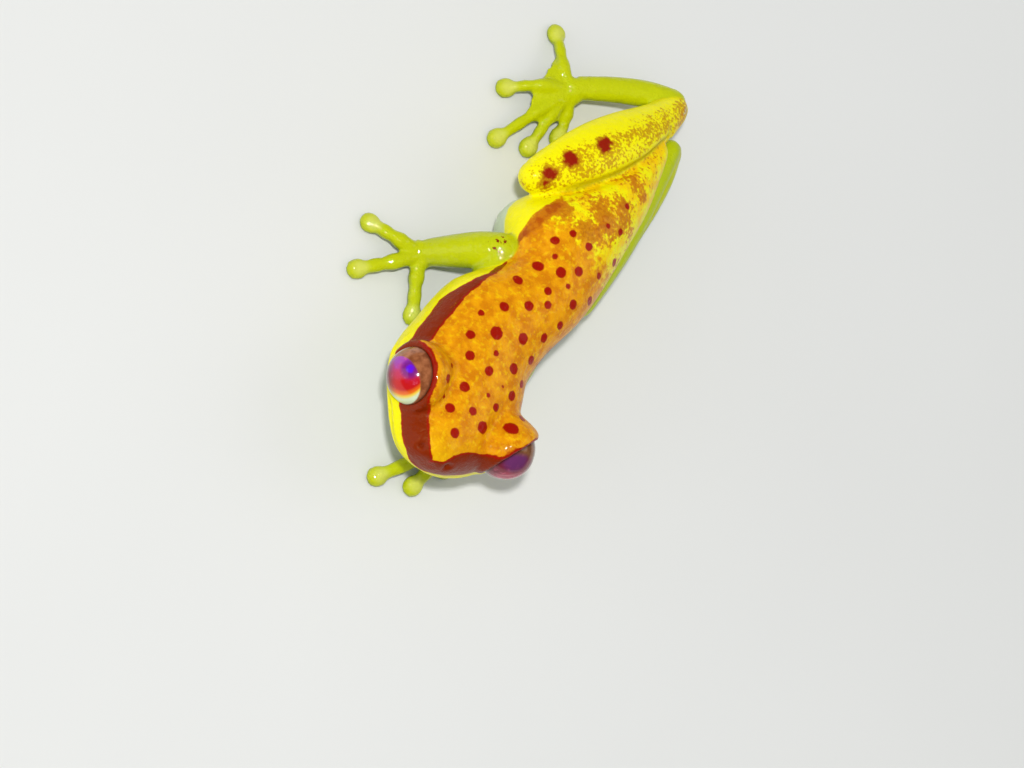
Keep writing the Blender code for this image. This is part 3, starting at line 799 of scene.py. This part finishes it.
    def limb_marks(self, places: Array, core_reach: Array, limbs: list[Limb | Paw]) -> dict[str, Array]:
        """Work out where the skin belongs to a limb, and what marks it there.

        Args:
            places: the skin's points.
            core_reach: how far each lies outside head and trunk.
            limbs: every limb of the frog.

        Returns:
            A share for each marking.
        """
        far = np.full(len(places), 50.0)
        nearest = dict.fromkeys(Region, far) | {Region.CORE: core_reach}
        left_shank, tips, values = far, far, {}
        for limb in limbs:
            reach = limb.distance(places)
            nearest[limb.region] = np.minimum(nearest[limb.region], reach)
            if isinstance(limb, Paw):
                tips = np.minimum(tips, limb.tip_distance(places))
            elif limb.region is Region.SHANK and limb.side is Side.LEFT:
                left_shank = reach
            elif limb.region is Region.SHANK:
                share, facing = limb.chart(places, np.array(self.speckled))
                values["speckle"] = (reach < 0.5) * ramp(0.15, 0.85, facing) * (0.72 + 0.28 * share)
        for name, regions in {"limbs": (Region.ARM, Region.HAND, Region.TARSUS, Region.FOOT),
                              "legs": (Region.THIGH, Region.SHANK)}.items():
            inner = np.min([nearest[region] for region in regions], axis=0)
            outer = np.min([nearest[region] for region in Region if region not in regions], axis=0)
            values[name] = ramp(-self.limb_blur, self.limb_blur, outer - inner)
        return values | {"olive": ramp(0.25, 0.05, left_shank), "tips": ramp(0.7, 0.2, tips)}

    def paint(self, places: Array, normals: Array, limbs: list[Limb | Paw],
              lids: Lids, beside: Array, folded: Array) -> dict[str, Array]:
        """Work out one value per point for each marking, and for the painted shade in folds and underneath.

        Args:
            places: the skin's points.
            normals: their normals.
            limbs: every limb of the frog.
            lids: the lids, which say where the eyes look.
            beside: how much nearer each point is to the right shank than to what it lies against.
            folded: the share of a fold there.

        Returns:
            The values by the marking's name. Band, lemon, pale, spots and blotches are in millimetres,
            above zero inside the marking. The others are shares.
        """
        chart = self.core.chart(places)
        station, _, radial, size = chart
        values = self.stripes(places, chart, lids) | self.limb_marks(places, (radial - 1) * size, limbs)
        values["spots"] = self.dots(places, self.spots) + np.where(places[:, 2] > self.spot_floor, 0.0, -5.0)
        values["blotches"] = self.dots(places, self.blotches)
        # Painted shade: the crease between the right shank and the thigh and body, darkened in the colour
        values["fold"] = ramp(-0.15, 0.0, beside) * ramp(0.75, 0.0, beside) * folded
        values["speckle"] += 0.35 * ramp(-0.5, 0.1, values["blotches"])
        values["speckle"] *= 1 - folded * ramp(0.9, 0.2, beside)
        for name in ("rump", "patch", "snout"):
            values[name] = ramp(*getattr(self, f"{name}_fade"), station)
        # Painted shade: the more the skin faces down, the darker, for the limbs' undersides
        values["under"] = ramp(0.75, -0.4, normals[:, 2])
        stains = [hump(apart(places, (x, y)), 0.0, radius) for x, y, radius in self.stains]
        values["stains"] = np.max(stains, axis=0)
        values["elbow"] = hump(apart(places, self.elbow_top), 0.0, 1.3)
        return values

    @staticmethod
    def dots(places: Array, rows: Table) -> Array:
        """Say how far points lie inside the nearest of some dots."""
        depths = [radius - apart(places, centre) for *centre, radius in rows]
        return np.maximum(np.max(depths, axis=0), -5.0)


def add_object(name: str, data: bpy.types.ID) -> bpy.types.Object:
    """Put an object with the data given in the scene."""
    item = bpy.data.objects.new(name, data)
    bpy.context.scene.collection.objects.link(item)
    return item


def new_object(name: str, mesh: bmesh.types.BMesh) -> bpy.types.Object:
    """Make an object of a bmesh and free the bmesh."""
    data = bpy.data.meshes.new(name)
    mesh.to_mesh(data)
    mesh.free()
    return add_object(name, data)


def apply_modifiers(item: bpy.types.Object) -> None:
    """Put what an object's modifiers make into its mesh, and remove them."""
    bpy.context.view_layer.update()
    graph = bpy.context.evaluated_depsgraph_get()
    data = bpy.data.meshes.new_from_object(item.evaluated_get(graph))
    old = item.data
    item.modifiers.clear()
    item.data = data
    bpy.data.meshes.remove(old)


def vertex_array(item: bpy.types.Object, what: str = "co") -> Array:
    """Read the places or normals of an object's vertices as an array."""
    flat = np.empty(len(item.data.vertices) * 3)
    item.data.vertices.foreach_get(what, flat)
    return flat.reshape(-1, 3)


def settle(item: bpy.types.Object) -> None:
    """Take a finished piece from millimetres in the frog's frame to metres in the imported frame."""
    item.data.transform(Matrix.Scale(MM, 4) @ Matrix.Translation(SHIFT))
    item.data.shade_smooth()


@dataclass
class Skin:
    """The whole skin in one piece."""

    frog: Frog = field(default_factory=Frog)
    core: Core = field(default_factory=Core)
    lids: Lids = field(default_factory=Lids)
    carving: Carving = field(default_factory=Carving)
    voxel: float = 0.12
    passes: int = 6
    brow_passes: int = 90
    brow_reach: float = 0.55
    fold_side: Row = (0.7, -0.3, 0.65)

    def beside_shank(self, places: Array) -> tuple[Array, Array]:
        """Say how much nearer points are to the right shank than to the thigh and body beside it.

        Args:
            places: points in the frog's frame.

        Returns:
            The difference in millimetres, which is 0 in the fold between them and more on the shank,
            and the share of the fold there, which fades out at the knee, the heel and below.
        """
        thigh, shank = [limb for limb in self.frog.limbs(Side.RIGHT)
                        if limb.region in (Region.THIGH, Region.SHANK)]
        _, _, radial, radius = self.core.chart(places)
        other = np.minimum(thigh.distance(places), (radial - 1) * radius)
        share, facing = shank.chart(places, np.array(self.fold_side))
        folded = ramp(0.02, 0.22, share) * ramp(0.88, 0.76, share) * ramp(0.0, 0.25, facing)
        return other - shank.distance(places), folded * ramp(2.2, 2.8, places[:, 2])

    def soften_brows(self, item: bpy.types.Object) -> None:
        """Round the creases where the lids rise from the head.

        Args:
            item: the skin.
        """
        places = vertex_array(item)
        weights = np.zeros(len(places))
        for side in Side:
            depth = along(places, EYES[side], self.lids.gaze(side))
            crease = hump(apart(places, EYES[side]), self.lids.lid_radius, self.brow_reach)
            weights = np.maximum(weights, crease * ramp(self.lids.edge - 0.35, self.lids.edge - 0.8, depth))
        group = item.vertex_groups.new(name="brows")
        for index in np.flatnonzero(weights > 0.02):
            group.add([int(index)], float(weights[index]), "REPLACE")
        round_off = item.modifiers.new("round_off", "SMOOTH")
        round_off.vertex_group = group.name
        round_off.iterations = self.brow_passes
        apply_modifiers(item)
        item.vertex_groups.clear()

    def build(self) -> bpy.types.Object:
        """Model the skin.

        Returns:
            The finished piece, with its markings and painted shade as attributes.
        """
        limbs = [limb for side in Side for limb in self.frog.limbs(side)]
        clay = Clay()
        self.core.build(clay)
        self.lids.build(clay)
        for limb in limbs:
            limb.build(clay)
        item = new_object("skin", clay.mesh)
        cover = item.modifiers.new("cover", "REMESH")
        cover.mode = "VOXEL"
        cover.voxel_size = self.voxel
        ease = item.modifiers.new("ease", "SMOOTH")
        ease.factor = 0.5
        ease.iterations = self.passes
        apply_modifiers(item)
        self.soften_brows(item)
        places = vertex_array(item)
        beside, folded = self.beside_shank(places)
        places = self.carving.press(places, vertex_array(item, "normal"), beside, folded)
        places[:, 2] = np.maximum(places[:, 2], 0.0)
        item.data.vertices.foreach_set("co", places.ravel())
        item.data.update()
        normals = vertex_array(item, "normal")
        markings = Markings(self.core)
        for name, values in markings.paint(places, normals, limbs, self.lids, beside, folded).items():
            layer = item.data.attributes.new(name, "FLOAT", "POINT")
            layer.data.foreach_set("value", values.astype(np.float32))
        settle(item)
        return item


@dataclass
class Eye:
    """One eyeball, with a slight bulge where it is clear."""

    side: Side
    lids: Lids
    bulge: float = 0.04
    bulge_reach: float = 0.75

    def build(self) -> bpy.types.Object:
        """Model the eyeball.

        Returns:
            The finished piece. Its attribute "look" holds each point's place in the eye's own frame.
        """
        mesh = bmesh.new()
        bmesh.ops.create_uvsphere(mesh, u_segments=96, v_segments=64, radius=1.0)
        item = new_object(f"eyeball_{self.side.word}", mesh)
        local = vertex_array(item)
        middle = np.clip(local[:, 2], 0.0, 1.0)
        shape = local * (self.lids.eye_radius + self.bulge * ramp(self.bulge_reach, 1.0, middle))[:, None]
        gaze = self.lids.gaze(self.side)
        up = (HEAD.top - gaze * HEAD.top.dot(gaze)).normalized()
        axes = np.array([up.cross(gaze), up, gaze])
        item.data.vertices.foreach_set("co", (shape @ axes + np.array(EYES[self.side])).ravel())
        look = local.copy()
        look[:, 0] *= -self.side.value
        layer = item.data.attributes.new("look", "FLOAT_VECTOR", "POINT")
        layer.data.foreach_set("vector", look.astype(np.float32).ravel())
        item.data.update()
        settle(item)
        return item


Socket = bpy.types.NodeSocket


def linear(red: float, green: float, blue: float) -> tuple[float, float, float, float]:
    """Turn a screen colour from 0 to 255 into the linear colour that a shader takes."""
    parts = [value / 255 for value in (red, green, blue)]
    parts = [value / 12.92 if value <= 0.04045 else ((value + 0.055) / 1.055) ** 2.4 for value in parts]
    return (*parts, 1.0)


def set_inputs(node: bpy.types.Node, values: dict[str, object]) -> None:
    """Set some of a node's inputs by name."""
    for name, value in values.items():
        node.inputs[name].default_value = value


class Painter:
    """Adds nodes to one node tree."""

    def __init__(self, tree: bpy.types.NodeTree) -> None:
        """Work in the tree given."""
        self.tree = tree

    def node(self, kind: str, **settings: object) -> bpy.types.Node:
        """Add a node and set its options."""
        made = self.tree.nodes.new(kind)
        for name, value in settings.items():
            setattr(made, name, value)
        return made

    def feed(self, target: Socket, value: object) -> None:
        """Link a socket to another, or set its value."""
        if isinstance(value, bpy.types.NodeSocket):
            self.tree.links.new(value, target)
        else:
            target.default_value = value

    def math(self, operation: str, *values: object) -> Socket:
        """Add a Math node.

        Args:
            operation: its operation.
            *values: sockets or numbers for its inputs.

        Returns:
            Its output.
        """
        made = self.node("ShaderNodeMath", operation=operation)
        for target, value in zip(made.inputs, values):
            self.feed(target, value)
        return made.outputs[0]

    def times(self, value: object, share: object) -> Socket:
        """Multiply two values."""
        return self.math("MULTIPLY", value, share)

    def times_plus(self, value: object, share: object, more: object) -> Socket:
        """Multiply two values and add a third."""
        return self.math("MULTIPLY_ADD", value, share, more)

    def blend(self, share: object, below: object, above: object) -> Socket:
        """Lay one colour over another by a share."""
        made = self.node("ShaderNodeMix", data_type="RGBA", blend_type="MIX")
        targets = made.inputs["Factor"], made.inputs[6], made.inputs[7]
        for target, value in zip(targets, (share, below, above)):
            self.feed(target, value)
        return made.outputs[2]

    def attribute(self, name: str) -> Socket:
        """Read one of the piece's own float attributes."""
        return self.node("ShaderNodeAttribute", attribute_name=name).outputs["Fac"]

    def rise(self, value: object, low: float, high: float) -> Socket:
        """Rise smoothly from 0 at low to 1 at high."""
        made = self.node("ShaderNodeMapRange", interpolation_type="SMOOTHSTEP")
        self.feed(made.inputs["Value"], value)
        set_inputs(made, {"From Min": low, "From Max": high})
        return made.outputs["Result"]

    def noise(self, scale: float, detail: float = 2.0, vector: object = None) -> Socket:
        """Add noise on the piece's Object coordinates, with the scale in cycles per millimetre."""
        made = self.node("ShaderNodeTexNoise")
        set_inputs(made, {"Scale": scale / MM if vector is None else scale, "Detail": detail})
        source = self.node("ShaderNodeTexCoord").outputs["Object"] if vector is None else vector
        self.feed(made.inputs["Vector"], source)
        return made.outputs["Fac"]

    def mottle(self, scale: float, detail: float, low: float, high: float, vector: object = None) -> Socket:
        """Make patches of noise that start at one of its levels and are full at another."""
        return self.rise(self.noise(scale, detail, vector), low, high)

    def ripple(self, strength: float, distance: float, height: Socket) -> Socket:
        """Bend the normals by a height, with the distance in millimetres."""
        made = self.node("ShaderNodeBump")
        set_inputs(made, {"Strength": strength, "Distance": distance * MM})
        self.feed(made.inputs["Height"], height)
        return made.outputs["Normal"]

    def group(self, tree: bpy.types.NodeTree, **values: object) -> bpy.types.Node:
        """Place a node group and feed its inputs."""
        made = self.node("ShaderNodeGroup", node_tree=tree)
        for name, value in values.items():
            self.feed(made.inputs[name.capitalize()], value)
        return made


def new_material(name: str) -> tuple[bpy.types.Material, Painter, bpy.types.Node]:
    """Start a material.

    Args:
        name: its name.

    Returns:
        The material, a painter for its nodes and its shader.
    """
    material = bpy.data.materials.new(name)
    material.use_nodes = True
    return material, Painter(material.node_tree), material.node_tree.nodes["Principled BSDF"]


def ragged_mask() -> bpy.types.NodeTree:
    """Make the group that turns a marking's distance into a mask with an uneven edge.

    Returns:
        The node group.
    """
    tree = bpy.data.node_groups.new("ragged_mask", "ShaderNodeTree")
    for name, value in (("Field", 0.0), ("Scale", 2000.0), ("Wobble", 0.1), ("Softness", 0.04)):
        tree.interface.new_socket(name, in_out="INPUT", socket_type="NodeSocketFloat").default_value = value
    tree.interface.new_socket("Mask", in_out="OUTPUT", socket_type="NodeSocketFloat")
    painter = Painter(tree)
    given = painter.node("NodeGroupInput").outputs
    noise = painter.node("ShaderNodeTexNoise")
    painter.feed(noise.inputs["Vector"], painter.node("ShaderNodeTexCoord").outputs["Object"])
    painter.feed(noise.inputs["Scale"], given["Scale"])
    noise.inputs["Detail"].default_value = 3.0
    centred = painter.times(painter.math("SUBTRACT", noise.outputs["Fac"], 0.5), 4.0)
    moved = painter.times_plus(centred, given["Wobble"], given["Field"])
    scaled = painter.math("DIVIDE", moved, given["Softness"])
    painter.feed(painter.node("NodeGroupOutput").inputs["Mask"], painter.rise(scaled, -1.0, 1.0))
    return tree


@dataclass(frozen=True)
class SkinFinish:
    """Moist skin: gold with red-brown spots, lemon stripes and yellow-green limbs, and painted shade and
    highlight.
    """

    gold: Row = linear(236, 160, 4)
    deep_gold: Row = linear(214, 128, 2)
    yellow: Row = linear(250, 208, 4)
    lemon: Row = linear(250, 240, 2)
    green: Row = linear(194, 202, 6)
    # The green of the painted shade under the limbs
    shaded_green: Row = linear(136, 158, 8)
    olive: Row = linear(186, 200, 12)
    # The olive of the painted shade in the crease by the right shank
    shadow: Row = linear(170, 150, 6)
    # The discs' pale tops: partly their own paler tone, partly a painted highlight
    disc: Row = linear(222, 224, 110)
    pale: Row = linear(200, 215, 180)
    brown: Row = linear(134, 38, 2)
    red: Row = linear(162, 14, 0)
    rust: Row = linear(182, 84, 6)
    tan: Row = linear(206, 122, 10)
    ochre: Row = linear(192, 128, 6)
    dark_red: Row = linear(152, 26, 4)
    # Mottling: noise scale and detail, and the levels where it starts and is full
    clouds: Row = (1.4, 6.0, 0.36, 0.62)
    flecks: Row = (3.6, 6.0, 0.5, 0.72)
    rump_clouds: Row = (1.2, 4.0, 0.4, 0.6)
    patch_clouds: Row = (2.0, 5.0, 0.35, 0.6)
    # Noise scale and detail of the rump's blots and net, and of the ragged start of the rump
    blots: Row = (0.7, 3.0)
    net: Row = (4.5, 9.0)
    onset: Row = (2.2, 8.0)
    # The same of the shank's clusters and grit, the ticks at the elbow, and the fine relief
    clusters: Row = (1.3, 3.0)
    grit: Row = (5.5, 8.0)
    ticks: Row = (4.4, 2.0)
    swells: Row = (1.8, 2.0)
    grain: Row = (7.0, 3.0)
    beads: Row = (2.8, 1.0)
    # Edges: noise scale, wobble and softness
    lemon_edge: Row = (2.5, 0.04, 0.04)
    pale_edge: Row = (1.2, 0.08, 0.12)
    spot_edge: Row = (4.0, 0.03, 0.04)
    blotch_edge: Row = (3.0, 0.2, 0.18)
    inner_edge: Row = (3.0, 0.05, 0.07)
    rim_width: float = 0.13
    # Roughness and how much the grain adds to it
    roughness: float = 0.28
    rough_grain: float = 0.16
    # Strength and distance of the skin's relief and of the wet film's
    relief: Row = (0.9, 0.05)
    film: Row = (0.9, 0.08)
    # How wet the limbs are beyond the rest, and how wet the rest is
    wetness: Row = (0.35, 0.18)

    def make(self, mask: bpy.types.NodeTree) -> bpy.types.Material:
        """Make the material.

        Args:
            mask: the group that gives markings their uneven edges.

        Returns:
            The material.
        """
        material, painter, shader = new_material("moist_skin")
        attribute, blend, times = painter.attribute, painter.blend, painter.times

        def edge(inside: Socket, scale: float, wobble: object, softness: object) -> Socket:
            """Give the mask of one marking, from how far points lie inside it."""
            return painter.group(mask, field=inside, scale=scale / MM, wobble=wobble,
                                 softness=softness).outputs["Mask"]

        colour = blend(painter.mottle(*self.clouds), self.deep_gold, self.gold)
        colour = blend(times(painter.mottle(*self.flecks), 0.6), colour, self.yellow)
        colour = blend(times(attribute("snout"), 0.4), colour, self.yellow)
        # The rump: lemon under a net of tan and rust
        blots = painter.times_plus(painter.noise(*self.blots), 0.8, -0.4)
        warmth = painter.times_plus(attribute("stains"), 0.35, -0.08)
        net = painter.times_plus(painter.noise(*self.net), 0.9, painter.math("ADD", blots, warmth))
        warm = blend(painter.rise(net, 0.6, 0.85), self.tan, self.rust)
        base = blend(painter.mottle(*self.rump_clouds), self.lemon, self.yellow)
        rump = blend(times(painter.rise(net, 0.42, 0.6), 0.9), base, warm)
        onset = painter.math("ADD", attribute("rump"), times(painter.noise(*self.onset), 1.2))
        colour = blend(painter.rise(onset, 0.92, 1.2), colour, rump)
        # The band, with its red rim, and the torn patch behind the elbow
        band, patch = attribute("band"), attribute("patch")
        torn, soft = painter.times_plus(patch, 0.2, 0.05), painter.times_plus(patch, 0.12, 0.035)
        colour = blend(edge(band, 3.0, torn, soft), colour, blend(patch, self.red, self.tan))
        inner = edge(painter.math("SUBTRACT", band, self.rim_width), *self.inner_edge)
        fresh = blend(painter.mottle(*self.patch_clouds), self.rust, self.tan)
        colour = blend(inner, colour, blend(patch, self.brown, fresh))
        for name, sizes, tone in (("lemon", self.lemon_edge, self.lemon), ("pale", self.pale_edge, self.pale),
                                  ("spots", self.spot_edge, self.red)):
            colour = blend(edge(attribute(name), *sizes), colour, tone)
        # The legs, and then the green limbs with their pale discs
        colour = blend(attribute("legs"), colour, blend(attribute("olive"), self.lemon, self.olive))
        # Painted shade: the crease by the right shank darkened to olive
        colour = blend(times(attribute("fold"), 0.75), colour, self.shadow)
        # Painted shade: the limbs turn a deeper green underneath
        limb = blend(attribute("under"), self.green, self.shaded_green)
        # The discs' pale tops: partly their own paler tone, partly a painted highlight
        colour = blend(attribute("limbs"), colour, blend(times(attribute("tips"), 0.6), limb, self.disc))
        # Speckle, ticks and blotches
        grit = painter.math("ADD", painter.times_plus(painter.noise(*self.clusters), 0.5, -1.03),
                            painter.noise(*self.grit))
        speckle = painter.rise(painter.times_plus(attribute("speckle"), 0.36, grit), -0.08, 0.12)
        colour = blend(times(speckle, 0.8), colour, self.ochre)
        tick = painter.times_plus(attribute("elbow"), 0.6, painter.noise(*self.ticks))
        colour = blend(painter.rise(tick, 1.12, 1.17), colour, self.brown)
        colour = blend(edge(attribute("blotches"), *self.blotch_edge), colour, self.dark_red)
        painter.feed(shader.inputs["Base Color"], colour)
        grain = painter.noise(*self.grain)
        painter.feed(shader.inputs["Roughness"], painter.times_plus(grain, self.rough_grain, self.roughness))
        height = painter.times_plus(painter.noise(*self.swells), 2.0, grain)
        painter.feed(shader.inputs["Normal"], painter.ripple(*self.relief, height))
        painter.feed(shader.inputs["Coat Normal"], painter.ripple(*self.film, painter.noise(*self.beads)))
        painter.feed(shader.inputs["Coat Weight"], painter.times_plus(attribute("limbs"), *self.wetness))
        set_inputs(shader, {"Specular Tint": (1.0, 0.7, 0.3, 1.0), "Specular IOR Level": 0.15,
                            "Coat IOR": 1.6, "Coat Roughness": 0.05, "Subsurface Weight": 0.12,
                            "Subsurface Radius": (0.6, 0.5, 0.2), "Subsurface Scale": 0.6 * MM})
        return material


@dataclass(frozen=True)
class EyeFinish:
    """A wet eye: a copper iris round a wide pupil with a painted glow of plum, rose and red."""

    name: str = "wet_eye_right"
    # The way the pupil faces and where its edge lies
    axis: Row = (0.297, -0.129, 0.946)
    pupil: Row = (0.59, 0.64)
    # The way the colours run, where plum turns to rose, and where red, orange, yellow and the gleam begin
    run: Row = (0.97, -0.21, -0.13)
    turn: Row = (-0.55, -0.1)
    steps: Row = (0.05, 0.5, 0.61, 0.71)
    # The violet spot, with the reach of its haze and of its core
    spot: Row = (-0.03, 0.504, 0.863)
    haze: Row = (0.92, 0.985)
    core: Row = (0.984, 0.997)
    # The shaded side, with where its shade begins and is full
    shaded: Row = (-0.07, -0.74, 0.67)
    shade: Row = (0.6, 1.0)
    # A pale arc in the painted glow, with where it lies and how strong it is
    arc: Row = (0.607, 0.797, 0.052)
    arc_place: float = 0.5
    arc_share: float = 0.0
    # How the colours' run bows, with the way across it and the middle of the bow
    bow: float = 0.9
    across: Row = (0.07, 0.74, -0.67)
    bow_middle: float = -0.4
    # Mottling of the iris and of the glow: noise scale and detail, and where it starts and is full
    streaks: Row = (4.5, 4.0, 0.3, 0.7)
    sparks: Row = (5.0, 3.0, 0.58, 0.75)
    stir: Row = (3.0, 4.0)
    # The dark colour of the painted shade on the shaded side and round the edge by the lid
    rim: Row = linear(52, 18, 12)
    copper: Row = linear(130, 70, 36)
    tan: Row = linear(176, 108, 66)
    plum: Row = linear(165, 58, 178)
    rose: Row = linear(196, 36, 84)
    pink: Row = linear(228, 100, 130)
    crimson: Row = linear(200, 16, 20)
    mist: Row = linear(100, 18, 130)
    violet: Row = linear(100, 8, 225)
    orange: Row = linear(240, 110, 12)
    yellow: Row = linear(250, 215, 70)
    gleam: Row = linear(225, 240, 200)

    def make(self) -> bpy.types.Material:
        """Make the material from the eye's own frame: X towards the snout, Y up and Z out.

        Returns:
            The material.
        """
        material, painter, shader = new_material(self.name)
        blend, rise, times = painter.blend, painter.rise, painter.times
        look = painter.node("ShaderNodeAttribute", attribute_name="look").outputs["Vector"]

        def toward(direction: Row) -> Socket:
            """Measure the eye's surface along one direction."""
            made = painter.node("ShaderNodeVectorMath", operation="DOT_PRODUCT")
            painter.feed(made.inputs[0], look)
            made.inputs[1].default_value = direction
            return made.outputs["Value"]

        iris = blend(painter.mottle(*self.streaks, look), self.copper, self.tan)
        run = toward(self.run)
        stir = times(painter.math("SUBTRACT", painter.noise(*self.stir, look), 0.5), 0.6)
        level = painter.math("ADD", run, stir)
        red, orange, yellow, gleam = self.steps
        # Painted light: the pupil's glow of plum, rose, red, pink sparks, orange, yellow, gleam and violet
        painted_glow = blend(rise(level, *self.turn), self.plum, self.rose)
        painted_glow = blend(rise(level, red - 0.15, red + 0.15), painted_glow, self.crimson)
        painted_glow = blend(times(painter.mottle(*self.sparks, look), 0.5), painted_glow, self.pink)
        aside = painter.math("SUBTRACT", toward(self.across), self.bow_middle)
        bowed = painter.times_plus(times(aside, aside), self.bow, run)
        for low, high, tone in ((orange - 0.1, orange + 0.06, self.orange),
                                (yellow - 0.06, yellow + 0.05, self.yellow),
                                (gleam - 0.07, gleam + 0.05, self.gleam)):
            painted_glow = blend(rise(bowed, low, high), painted_glow, tone)
        near = painter.times_plus(stir, 0.04, toward(self.spot))
        painted_glow = blend(times(rise(near, *self.haze), 0.8), painted_glow, self.mist)
        painted_glow = blend(rise(near, *self.core), painted_glow, self.violet)
        colour = blend(rise(toward(self.axis), *self.pupil), iris, painted_glow)
        # Painted shade on the eye's shaded side
        colour = blend(times(rise(toward(self.shaded), *self.shade), 0.8), colour, self.rim)
        off = painter.math("ABSOLUTE", painter.math("SUBTRACT", toward(self.arc), self.arc_place))
        arc = times(rise(off, 0.07, 0.02), rise(run, 0.5, 0.8))
        colour = blend(times(arc, self.arc_share), colour, self.gleam)
        # Painted shade: a dark ring round the eye's edge, where the lid shades it
        colour = blend(rise(toward((0.0, 0.0, 1.0)), 0.4, 0.26), colour, self.rim)
        painter.feed(shader.inputs["Base Color"], colour)
        set_inputs(shader, {"Roughness": 0.12, "Coat Weight": 0.5, "Coat Roughness": 0.02, "IOR": 1.4})
        return material


def left_eye_finish() -> EyeFinish:
    """Give the left eye's finish, seen from its edge: a painted glow of maroon and plum, with a rose arc."""
    return EyeFinish("wet_eye_left", axis=(0.537, 0.086, 0.838), pupil=(0.5, 0.68),
                     run=(0.15, -0.6, 0.78), turn=(0.35, 0.8), steps=(9.0, 9.0, 9.0, 9.0),
                     spot=(0.47, 0.71, 0.52), haze=(0.84, 0.97), core=(2.0, 2.1),
                     shaded=(0.63, -0.57, -0.52), shade=(0.1, 0.95), arc_share=0.75,
                     copper=linear(112, 66, 36), tan=linear(140, 90, 50), plum=linear(122, 34, 52),
                     rose=linear(176, 40, 74), mist=linear(104, 46, 108), gleam=linear(222, 150, 160))


@dataclass
class Studio:
    """The floor, the lights and the camera."""

    azimuth: float = math.radians(-35.0)
    elevation: float = math.radians(60.0)
    roll: float = math.radians(76.34)
    centre_pixel: tuple[float, float] = (508.9, 308.9)
    pixels_per_mm: float = 16.6
    distance: float = 280.0
    frame_pixels: tuple[int, int] = (1024, 768)
    sensor: float = 36.0
    # The room's light on matt surfaces, and what shows in reflections
    room_light: float = 0.5
    gloss_light: float = 0.15

    def axes(self) -> tuple[Vector, Vector, Vector]:
        """Give the picture's right and up, and the direction from the frog to the camera."""
        back = Vector((math.sin(self.azimuth) * math.cos(self.elevation),
                       -math.cos(self.azimuth) * math.cos(self.elevation), math.sin(self.elevation)))
        level = (-back).cross(UP).normalized()
        up = back.cross(level)
        right = level * math.cos(self.roll) + up * math.sin(self.roll)
        return right, up * math.cos(self.roll) - level * math.sin(self.roll), back

    def place_camera(self) -> None:
        """Make the camera that keeps the photograph's framing."""
        right, up, back = self.axes()
        width, height = self.frame_pixels
        aim = (right * (width / 2 - self.centre_pixel[0]) - up * (height / 2 - self.centre_pixel[1]))
        place = aim / self.pixels_per_mm + back * self.distance + SHIFT
        data = bpy.data.cameras.new("camera")
        data.sensor_width = self.sensor
        data.lens = self.sensor * self.distance * self.pixels_per_mm / width
        data.clip_start = 0.001
        data.clip_end = 10.0
        camera = add_object("camera", data)
        turn = Matrix((right, up, back)).transposed().to_4x4()
        camera.matrix_world = Matrix.Translation(place * MM) @ turn
        bpy.context.scene.camera = camera

    def place_light(self, name: str, place: Vector, size: float, power: float) -> None:
        """Add one soft light that points at the frog.

        Args:
            name: its name.
            place: where it stands, in metres.
            size: the side of its square face, in metres.
            power: its power in watts.
        """
        data = bpy.data.lights.new(name, "AREA")
        data.size = size
        data.energy = power
        turn = place.to_track_quat("Z", "Y").to_matrix().to_4x4()
        add_object(name, data).matrix_world = Matrix.Translation(place) @ turn

    def build(self) -> None:
        """Make the floor, the lights and the camera."""
        mesh = bmesh.new()
        bmesh.ops.create_grid(mesh, x_segments=8, y_segments=8, size=1.5,
                              matrix=Matrix.Translation((0, 0, -0.01 * MM)))
        floor = new_object("floor", mesh)
        material, painter, shader = new_material("pale_floor")
        tone = painter.blend(painter.noise(0.02, 3.0), linear(222, 222, 218), linear(232, 232, 228))
        painter.feed(shader.inputs["Base Color"], tone)
        shader.inputs["Roughness"].default_value = 0.85
        floor.data.materials.append(material)
        right, up, back = self.axes()
        self.place_light("key", back * 0.30 + up * 0.03 + right * 0.02, 0.02, 0.55)
        self.place_light("fill", back * 0.25 - right * 0.25 + up * 0.05, 0.25, 0.15)
        self.place_light("rim", Vector((0.2, 0.2, 0.25)), 0.2, 0.12)
        world = bpy.data.worlds.new("soft_room")
        bpy.context.scene.world = world
        world.use_nodes = True
        painter = Painter(world.node_tree)
        background = world.node_tree.nodes["Background"]
        background.inputs["Color"].default_value = linear(235, 238, 242)
        glossy = painter.node("ShaderNodeLightPath").outputs["Is Glossy Ray"]
        strength = painter.times_plus(glossy, self.gloss_light - self.room_light, self.room_light)
        painter.feed(background.inputs["Strength"], strength)
        bpy.context.scene.view_settings.view_transform = "Standard"
        self.place_camera()


FLESH = ("head", "torso", *(f"{kind}_{side.word}" for side in Side for kind in
                            ("upper_arm", "forearm", "hand", "thigh", "shank", "tarsus", "foot")))


def main() -> None:
    """Build the frog's looks piece by piece."""
    logging.basicConfig(level=logging.INFO, format="%(message)s")
    skin = Skin()
    piece = skin.build()
    piece.data.materials.clear()
    piece.data.materials.append(SkinFinish().make(ragged_mask()))
    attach(piece, "root")
    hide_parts(*FLESH)
    LOG.info("skin: %d faces", len(piece.data.polygons))
    finishes = {Side.RIGHT: EyeFinish(), Side.LEFT: left_eye_finish()}
    for side in Side:
        eye = Eye(side, skin.lids).build()
        eye.data.materials.append(finishes[side].make())
        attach(eye, "root")
        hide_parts(f"eye_{side.word}")
        LOG.info("%s: %d faces", eye.name, len(eye.data.polygons))
    Studio().build()
    LOG.info("studio: floor, three lights and camera")


if __name__ == "__main__":
    main()
